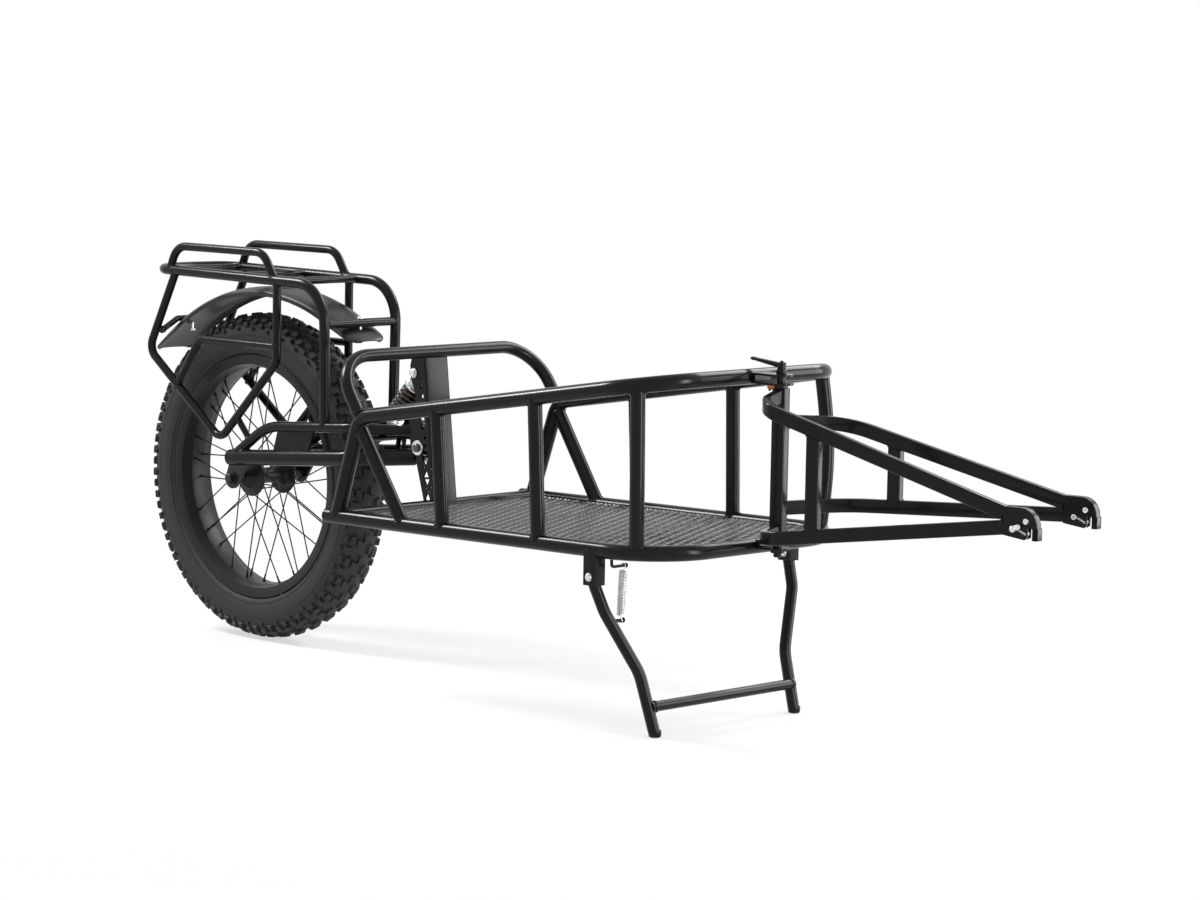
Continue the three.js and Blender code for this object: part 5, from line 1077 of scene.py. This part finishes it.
def fender_stay():
    form = Form()
    z = crown_z(STAY_X, 7.1)
    stay = rounded(both_halves((STAY_FOOT[0], RACK_HALF, STAY_FOOT[1]), (STAY_X, STAY_HALF, z)), 20)
    tube(form, stay, STAY_RADIUS, 18)
    weld_ends(form, stay, STAY_RADIUS, (-0.45, 0, -0.9), SIDE_TUBE, 1.6)
    piece("fender_stay_tube", "fork", form, PAINT, "fender_stay")
    screws = (("front", RACK_FRONT_X, 7, CROSSBAR_Z + SIDE_TUBE), ("rear", STAY_X, -7, z + STAY_RADIUS))
    for name, x, away, top in screws:
        form = Form()
        head_at = crown_z(x + away) - 10
        rod(form, (x, 0, head_at - 4), (x, 0, top + 1), 3, 12)
        lathe(form, [(0, 4), (4.9, 4), (6.4, 2.6), (7, 0.3), (3, 0.3)], (x, 0, top), (0, 0, 1), 24)
        bolt_head(form, (x, 0, head_at), (0, 0, -1), 6.6, 4)
        piece(f"fender_screw_{name}", "fork", form, ZINC, f"fender_bolt_{name}", sharp=30)


# Steering yoke


def king_bracket(name, top, foot, root_x):
    """Two plates on a box behind them, with a hole for the kingpin."""
    form = Form()
    nose, root = KINGPIN_X + BRACKET_NOSE, root_x + 13
    half = [(root, -BRACKET_WIDE), (nose - 16, -BRACKET_WIDE), (nose - 7, -18), (nose - 1.5, -9)]
    outline = [*half, (nose, 0), *mirrored(half)]
    for low in (foot, top - BRACKET_PLATE):
        plate(form, [outline, circle(KINGPIN_BORE, 24, KINGPIN_X)], low, low + BRACKET_PLATE)
    box = box_loop(root_x + 8, root_x + 23, foot + BRACKET_PLATE, top - BRACKET_PLATE)
    side_plate(form, [box], 0, BRACKET_WIDE * 2)
    piece(f"kingpin_bracket_{name}", "frame", form, PAINT, f"king_bracket_{name}", bevel=0.7)


def kingpin():
    king_bracket("upper", *UPPER_BRACKET, UPPER_FRONT_X)
    king_bracket("lower", *LOWER_BRACKET, LOWER_FRONT_X)

    form = Form()
    lathe(form, [(0, 334), (6.8, 334), (7.6, 335), (7.6, 341.5), (8, 342), (8, 676.3), (9.4, 676.3),
                 (10, 677), (10, 683.6), (9.4, 684.3), (8, 684.3), (8, 686), (8.5, 686.4), (8.5, 697),
                 (7.6, 698), (3.4, 698.2), (3.2, 700.4), (2.4, 701), (0, 701)], (KINGPIN_X, 0, 0), (0, 0, 1))
    bolt_head(form, (KINGPIN_X, 0, 347.4), (0, 0, -1), 13, 6.4)
    stations, scales = [], []
    for share in [i / 18 for i in range(19)]:
        stations.append((KINGPIN_X - LEVER_LONG * share, 0, LEVER_Z + LEVER_LIFT * share))
        swell = (1.3 if share > 0.93 else 1) * (0.7 if share == 1 else 1)
        scales.append((mix(1, 0.8, share), mix(1, 0.5, share) * swell))
    sweep(form, soft_box(12, 10, 2.6), stations, Vector((0, 0, 1)), scales)
    piece("kingpin_and_lever", "lever", form, PAINT, "kingpin_lever", sharp=34)


def head_column():
    form = Form()
    washer = [(KINGPIN_BORE, 650.3), (12, 650.3), (13, 651.1), (13, 654.4), (12, 655.2),
              (KINGPIN_BORE, 655.2)]
    lathe(form, washer, (0, 0, 0), (0, 0, 1), 40, closed=True)
    piece("kingpin_thrust_washer", "yoke", form, BRONZE_IN_PAINTED_SHADE, "kingpin_bushing", move=steer, sharp=30)
    form = Form()
    corners = [(9, 655), (25.5, 655), (27, 652), (22.5, 643.5), (20, 646), (9, 653)]
    tab = soft_loop(corners, [0, 1, 1, 2, 4, 0], 3)
    away = Vector((-1, -1, 0)).normalized()
    across = Vector((away.y, -away.x, 0))
    plate(form, [tab], -1.2, 1.2, lambda u, v, w: away * u + across * w + Vector((0, 0, v)))
    piece("kingpin_washer_tab", "yoke", form, COPPER, move=steer, sharp=30, bevel=0.3)
    form = Form()
    plate(form, [soft_box(28, 22, 3.4), circle(COLUMN_BORE, 28)], COLUMN_FOOT, COLUMN_TOP)
    piece("head_column", "yoke", form, PAINT, "head_tube", move=steer, sharp=30)


def yoke_arm(name, side, arm):
    y = side * YOKE_HALF
    form = Form()
    for (root, elbow), tip in ((arm["top"], YOKE_TOP_Z), (arm["low"], YOKE_LOW_Z)):
        stations = rounded([(0, 0, root), (arm["elbow"], y, elbow), (YOKE_TIP_X, y, tip)], arm["bend"])
        stations = trimmed(stations, HITCH_REAR_X - 0.3)
        sweep(form, soft_box(YOKE_WIDE, YOKE_HIGH, 3), stations, Vector((0, 0, 1)))
    share = share_of(arm["strut"], arm["elbow"], YOKE_TIP_X)
    foot = Vector((arm["strut"], y, mix(arm["low"][1], YOKE_LOW_Z, share)))
    head = Vector((arm["strut"], y, mix(arm["top"][1], YOKE_TOP_Z, share)))
    sweep(form, soft_box(27, 18, 3), [foot, head], Vector((0, 1, 0)))
    for rise, end, way in ((YOKE_LOW_Z - arm["low"][1], foot, 1), (YOKE_TOP_Z - arm["top"][1], head, -1)):
        slope = rise / (YOKE_TIP_X - arm["elbow"])
        ring = soft_box(28, 18.6, 3)
        seam = [end + Vector((x, across, x * slope + way * YOKE_HIGH / 2)) for x, across in ring]
        tube(form, seam, 1.7, 6, closed=True, scales=[(0.8, 0.8), (1, 1)] * (len(seam) // 2))
    piece(f"yoke_arm_tubes_{name}", "yoke", form, PAINT, f"yoke_arm_{name}", move=steer)


LATCH_AXIS = (LATCH_TO - LATCH_FROM).normalized()
LATCH_ROOT = LATCH_FROM + LATCH_AXIS * 3


def hook_loops():
    """The hook's outline with its slot, the window of the latch, the rim and the block of the nose."""
    brow = HITCH_FRONT_X - NOSE_STEP
    curve = arc(brow - HITCH_ARC, HITCH_TOP - HITCH_ARC, HITCH_ARC, 0, math.pi / 2, 14)
    slot = arc(SLOT_X, SLOT_TOP - SLOT_HALF, SLOT_HALF, math.pi, -math.pi, 10)
    outline = [(HITCH_REAR_X, HITCH_FOOT + 6), (546, HITCH_FOOT + 5), (583, HITCH_FOOT),
               (584.5, HITCH_FOOT + 2.4), (SLOT_X - SLOT_HALF, HITCH_FOOT + 2.4), *slot,
               (SLOT_X + SLOT_HALF, HITCH_FOOT), (HITCH_FRONT_X, HITCH_FOOT), (HITCH_FRONT_X, NOSE_TOP),
               (brow, NOSE_TOP + 0.6), *curve, (HITCH_REAR_X, HITCH_TOP)]
    ahead = LATCH_AXIS * LATCH_WINDOW
    above = Vector((-ahead.z, 0, ahead.x))
    start, end = LATCH_ROOT, LATCH_TO - LATCH_AXIS * 5
    corners = (start - ahead - above, end + ahead - above, end + ahead + above, start - ahead + above)
    window = soft_loop([(p.x, p.z) for p in corners], LATCH_WINDOW)
    path = [Vector((x, 0, z)) for x, z in [(HITCH_REAR_X, HITCH_TOP), *curve[::-1], (brow, HITCH_FOOT + 0.5)]]
    inner = []
    for here, tangent in zip(path, tangents_of(path)):
        inner.append(here - Vector((-tangent.z, 0, tangent.x)) * HITCH_RIM)
    rim_loop = [(p.x, p.z) for p in path + inner[::-1]]
    nose = soft_loop(box_loop(SLOT_X + SLOT_HALF, HITCH_FRONT_X, HITCH_FOOT, NOSE_TOP), [0, 1, 1.5, 0])
    return outline, window, rim_loop, nose


def hook(name, side):
    outline, window, rim_loop, nose = hook_loops()
    middle = side * YOKE_HALF
    form = Form()
    for y, thick in ((middle + side * (YOKE_WIDE - HITCH_PLATE) / 2, HITCH_PLATE),
                     (middle - side * (YOKE_WIDE - HITCH_BACK) / 2, HITCH_BACK)):
        side_plate(form, [outline, window], y, thick)
    side_plate(form, [rim_loop], middle, YOKE_WIDE - 0.6)
    side_plate(form, [nose], middle, YOKE_WIDE)
    piece(f"hook_plate_{name}", "yoke", form, PAINT, f"hitch_plate_{name}", move=steer, bevel=0.7)
    form = Form()
    for way in (1, -1):
        lathe(form, [(0, 2.4), (2, 2.2), (2.3, 1.5), (3.6, 2.3), (5, 1.7), (5.6, 0.2), (3, 0)],
              RIVET + Vector((0, middle + way * YOKE_WIDE / 2, 0)), (0, way, 0), 24)
    rod(form, RIVET + Vector((0, middle - 8, 0)), RIVET + Vector((0, middle + 8, 0)), 3, 12)
    piece(f"hook_rivet_{name}", "yoke", form, ZINC, move=steer, sharp=40)


def latch(name, side):
    """A pin along the hook, its stem and winged knob outside, and a ring inside."""
    form = Form()
    middle, out = Vector((0, side * YOKE_HALF, 0)), Vector((0, side, 0))
    length = (LATCH_TO - LATCH_FROM).length
    lathe(form, [(0, -1), (LATCH_RADIUS, 0), (LATCH_RADIUS, length - 3), (2.4, length - 0.6), (0, length)],
          LATCH_FROM + middle, LATCH_AXIS, 18)
    stem = LATCH_ROOT + middle
    outer, inner = stem + out * YOKE_WIDE / 2, stem - out * (YOKE_WIDE / 2 + 1.6)
    rod(form, stem, outer, LATCH_RADIUS)
    knob = [(3, 0.3), (5, 0.5), (6, 1.4), (6.4, 3), (6.4, 6.6), (5.6, 8.6), (4, 9.6), (0, 10)]
    lathe(form, knob, outer, out, 28)
    wing = Vector((1, 0, 0.42)).normalized()
    reaches, sizes = (-4, 4, 10, 13.5, 15), (1, 1, 0.95, 0.8, 0.5)
    sweep(form, soft_box(10, 6.4, 3), [outer + wing * reach + out * 4.6 for reach in reaches], out,
          [(size, size) for size in sizes])
    rod(form, stem, inner, 2, 12)
    tube(form, [inner + Vector((x, 0, z)) for x, z in circle(4)], 1.4, 8, closed=True)
    piece(f"latch_pin_and_knob_{name}", f"latch_{name}", form, ZINC, f"latch_pin_{name}", move=steer,
          sharp=32)


# Kickstand


def stand():
    form = Form()
    for _, side in SIDES:
        bends = [(x, side * y, z) for x, y, z in LEG_BENDS]
        tops = [(STAND_X, side * STAND_HALF, z) for z in (STAND_Z, BRACKET_FOOT)]
        leg = rounded([*tops, *bends, (STAND_FOOT_X, side * STAND_FOOT, 3)], [20, 60, 80])
        base = len(form.points)
        tube(form, leg, STAND_RADIUS, 24, caps=False)
        lathe(form, [(STAND_RADIUS, 0), (STAND_RADIUS, 0.4)], leg[0], (0, 0, 1), 24)
        knuckle = [(0, -STAND_RADIUS), (8, -STAND_RADIUS), (STAND_RADIUS, -6)]
        lathe(form, knuckle + mirrored(knuckle), leg[0], segments=28)
        lathe(form, [(0, -2.9), (9.4, -2.9), (11.4, -1.6), (12, 1), (12, 9), (STAND_RADIUS, 10)], leg[-1],
              (0, 0, 1), 28)
        for point in form.points[base:]:
            point.z = max(point.z, 0.1)
    _, knee_y, knee_z = LEG_BENDS[1]
    half = mix(STAND_FOOT, knee_y, share_of(BAR_Z, 0, knee_z))
    cross_rod(form, BAR_X, BAR_Z, half, BAR_RADIUS, 24)
    for _, side in SIDES:
        weld(form, (BAR_X, side * half, BAR_Z), (0, -side, 0), BAR_RADIUS, (35, -side * 8, -116),
             STAND_RADIUS, 1.9)
    x, z = SPRING_LOW.x, SPRING_LOW.z
    rod(form, (x, PEG_OUTER_Y, z), (x, PEG_INNER_Y, z), PEG_RADIUS)
    lathe(form, [(3.5, 0), (5.2, 0.6), (5.2, 2), (3.5, 2.6)], (x, -219, z), segments=20)
    piece("stand_tubes", "stand", form, PAINT, "kickstand")


def stand_bracket(name, side):
    form = Form()
    y, top = side * STAND_HALF, lower_z(STAND_X)
    size, reach = BRACKET_HALF, BRACKET_HALF - BRACKET_WALL
    folded = soft_loop([*box_loop(-size, size, -size, size), (-size, reach), (reach, reach), (reach, -reach),
                        (-size, -reach)], [0, 5, 5, 0, 0, 2.5, 2.5, 0], 6)
    plate(form, [folded], BRACKET_FOOT, top, lambda u, v, w: (STAND_X + u, y + v, w))
    roof = box_loop(STAND_X - size + 0.6, STAND_X + reach - 0.2, BRACKET_ROOF, top)
    side_plate(form, [roof], y, reach * 2 - 0.2)
    piece(f"stand_clevis_{name}", "frame", form, PAINT, f"stand_bracket_{name}", bevel=0.7)
    form = Form()
    for way in (-1, 1):
        lathe(form, [(4, 0), (8, 0), (8, 1), (7.4, 1.4), (6.6, 1.5), (6.2, 3.6), (4.6, 4.8), (2.4, 5.3),
                     (0, 5.3)], (STAND_X, y + way * (size + 0.2), STAND_Z), (0, way, 0), 28)
    rod(form, (STAND_X, y - size, STAND_Z), (STAND_X, y + size, STAND_Z), 4.5)
    piece(f"stand_pivot_{name}", "frame", form, ZINC, f"stand_bolt_{name}", sharp=40)


def return_spring():
    form = Form()
    x, z = SPRING_TOP.x, SPRING_TOP.z
    tube(form, rounded([(x, -257, lower_z(x)), (x, -257, z), (x, -217, z)], 6), 3, 14)
    lathe(form, [(3, 0), (4.4, 0.5), (4.4, 2), (3, 2.5)], (x, -219.5, z), segments=18)
    piece("spring_hanger", "frame", form, PAINT, "spring_rod")

    form = Form()
    axis = (SPRING_LOW - SPRING_TOP).normalized()
    side = Vector((0, 1, 0))
    other = axis.cross(side)
    hook_top, hook_low, coil_radius, hook_turn = 4.4, 4.9, 7.2, math.pi * 1.2
    curls, per_curl, start, end = 30, 14, 9, (SPRING_LOW - SPRING_TOP).length - 9
    total = curls * per_curl
    stations = [SPRING_TOP + turned(other, -axis, hook_turn * (1 - i / 10)) * hook_top for i in range(11)]
    for i in range(total + 1):
        around = min(1, i / 6, (total - i) / 6) * coil_radius
        station = SPRING_TOP + axis * mix(start, end, i / total)
        stations.append(station + turned(other, side, math.tau * i / per_curl) * around)
    stations += [SPRING_LOW + turned(other, axis, hook_turn * i / 10) * hook_low for i in range(11)]
    tube(form, stations, 1.1, 8)
    piece("stand_return_spring", "stand_coil", form, ZINC, "stand_spring", sharp=60)


basket()
for side_name, side_sign in SIDES:
    for post_name, post_foot, post_top, post_bow in POSTS:
        post(post_name, side_name, side_sign, post_foot, post_top, post_bow)
    rear_brace(side_name, side_sign)
floor_panel()
mast()
mast_bolts()
for side_name, side_sign in SIDES:
    swing_arm(side_name, side_sign)
pivot_tube()
shock_carrier()
dropouts()
tyre()
rim()
hub_and_spokes()
valve()
shock()
rack()
fender()
fender_stay()
kingpin()
head_column()
for side_name, side_sign in SIDES:
    yoke_arm(side_name, side_sign, YOKE_ARMS[side_name])
for side_name, side_sign in SIDES:
    hook(side_name, side_sign)
    latch(side_name, side_sign)
stand()
for side_name, side_sign in SIDES:
    stand_bracket(side_name, side_sign)
return_spring()


# Floor, light and camera

WHITE = (1, 1, 1, 1)
FLOOR_SIZE, FLOOR_Z = 60, -0.0006
FILL_STRENGTH, GLOW_NEAR, GLOW_FAR, GLOW_LEAST, GLOW_MOST = 0.35, 0.7, 2.2, 0.6, 1.0
SOFTBOXES = (
    ("key_softbox", (-2.5, -1.0, 2.7), (0, 0, 0.4), 0.7, 1.2, 40),
    ("strip_softbox", (2.6, 0.3, 0.8), (0.3, 0, 0.4), 0.5, 1.5, 15),
    ("side_softbox", (1.9, 2.3, 0.9), (0, 0, 0.4), 1.3, 1.7, 6.4),
    ("back_softbox", (0.3, 3.0, 3.0), (0, 0, 0.4), 2.4, 1.3, 9),
)
CAMERA_AT, CAMERA_LENS, SENSOR, FARTHEST = (5870.8, -4981.3, 1252.6), 107.97, 36, 200
CAMERA_RIGHT = (0.71330, 0.70062, 0.01796)
CAMERA_UP = (-0.08869, 0.06481, 0.99395)
CAMERA_BACK = (0.69522, -0.71058, 0.10837)


def larger(tree, first, second):
    return add_node(tree, "Math", {0: first, 1: second}, operation="MAXIMUM")[0]


def blended(tree, share, first, second):
    return add_node(tree, "MixShader", {0: share, 1: first, 2: second})[0]


def studio_world():
    """White where it is seen or mirrored, and a softer fill on the surfaces."""
    world = bpy.data.worlds.new("studio")
    bpy.context.scene.world = world
    world.use_nodes = True
    tree = world.node_tree
    tree.nodes.clear()
    path = add_node(tree, "LightPath", {})
    seen = larger(tree, path["Is Camera Ray"], path["Is Glossy Ray"])
    seen = larger(tree, seen, path["Is Transmission Ray"])
    fill = add_node(tree, "Background", {"Color": WHITE, "Strength": FILL_STRENGTH})[0]
    white = add_node(tree, "Background", {"Color": WHITE, "Strength": 1.0})[0]
    add_node(tree, "OutputWorld", {"Surface": blended(tree, seen, fill, white)})


def studio_floor():
    """A pale floor that glows towards white away from the object, where it is seen or mirrored."""
    mesh = bpy.data.meshes.new("floor")
    corners = box_loop(-FLOOR_SIZE, FLOOR_SIZE, -FLOOR_SIZE, FLOOR_SIZE)
    mesh.from_pydata([(x, y, FLOOR_Z) for x, y in corners], [], [(0, 1, 2, 3)])
    floor = bpy.data.objects.new("studio_floor", mesh)
    bpy.context.scene.collection.objects.link(floor)
    material = bpy.data.materials.new("pale_floor")
    material.use_nodes = True
    tree = material.node_tree
    shader = tree.nodes["Principled BSDF"]
    pale = {"Base Color": (0.95, 0.95, 0.95, 1), "Roughness": 0.9, "Specular IOR Level": 0.0}
    set_inputs(tree, shader, pale)
    glow = add_node(tree, "Emission", {"Color": WHITE})[0]
    path = add_node(tree, "LightPath", {})
    seen = larger(tree, path["Is Camera Ray"], path["Is Glossy Ray"])
    place_on = add_node(tree, "TexCoord", {})["Object"]
    distance = add_node(tree, "VectorMath", {0: place_on}, operation="LENGTH")["Value"]
    far = ranged(tree, distance, GLOW_LEAST, GLOW_MOST, GLOW_NEAR, GLOW_FAR, interpolation_type="SMOOTHSTEP")
    share = add_node(tree, "Math", {0: far, 1: seen}, operation="MULTIPLY")[0]
    surface = blended(tree, share, shader.outputs[0], glow)
    set_inputs(tree, tree.nodes["Material Output"], {"Surface": surface})
    mesh.materials.append(material)


def softbox(name, place_at, target, wide, high, radiance):
    light = bpy.data.lights.new(name, "AREA")
    light.shape = "RECTANGLE"
    light.size, light.size_y = wide, high
    light.energy = radiance * math.pi * wide * high
    made = bpy.data.objects.new(name, light)
    made.location = place_at
    made.rotation_euler = (Vector(place_at) - Vector(target)).to_track_quat("Z", "Y").to_euler()
    bpy.context.scene.collection.objects.link(made)


def camera():
    data = bpy.data.cameras.new("camera")
    data.lens, data.sensor_width, data.sensor_fit = CAMERA_LENS, SENSOR, "HORIZONTAL"
    data.clip_end = FARTHEST
    made = bpy.data.objects.new("camera", data)
    turn = Matrix((CAMERA_RIGHT, CAMERA_UP, CAMERA_BACK)).transposed().to_4x4()
    made.matrix_world = Matrix.Translation(place(CAMERA_AT)) @ turn
    bpy.context.scene.collection.objects.link(made)
    bpy.context.scene.camera = made


studio_world()
studio_floor()
for box_of_light in SOFTBOXES:
    softbox(*box_of_light)
camera()
bpy.context.scene.view_settings.view_transform = "Standard"
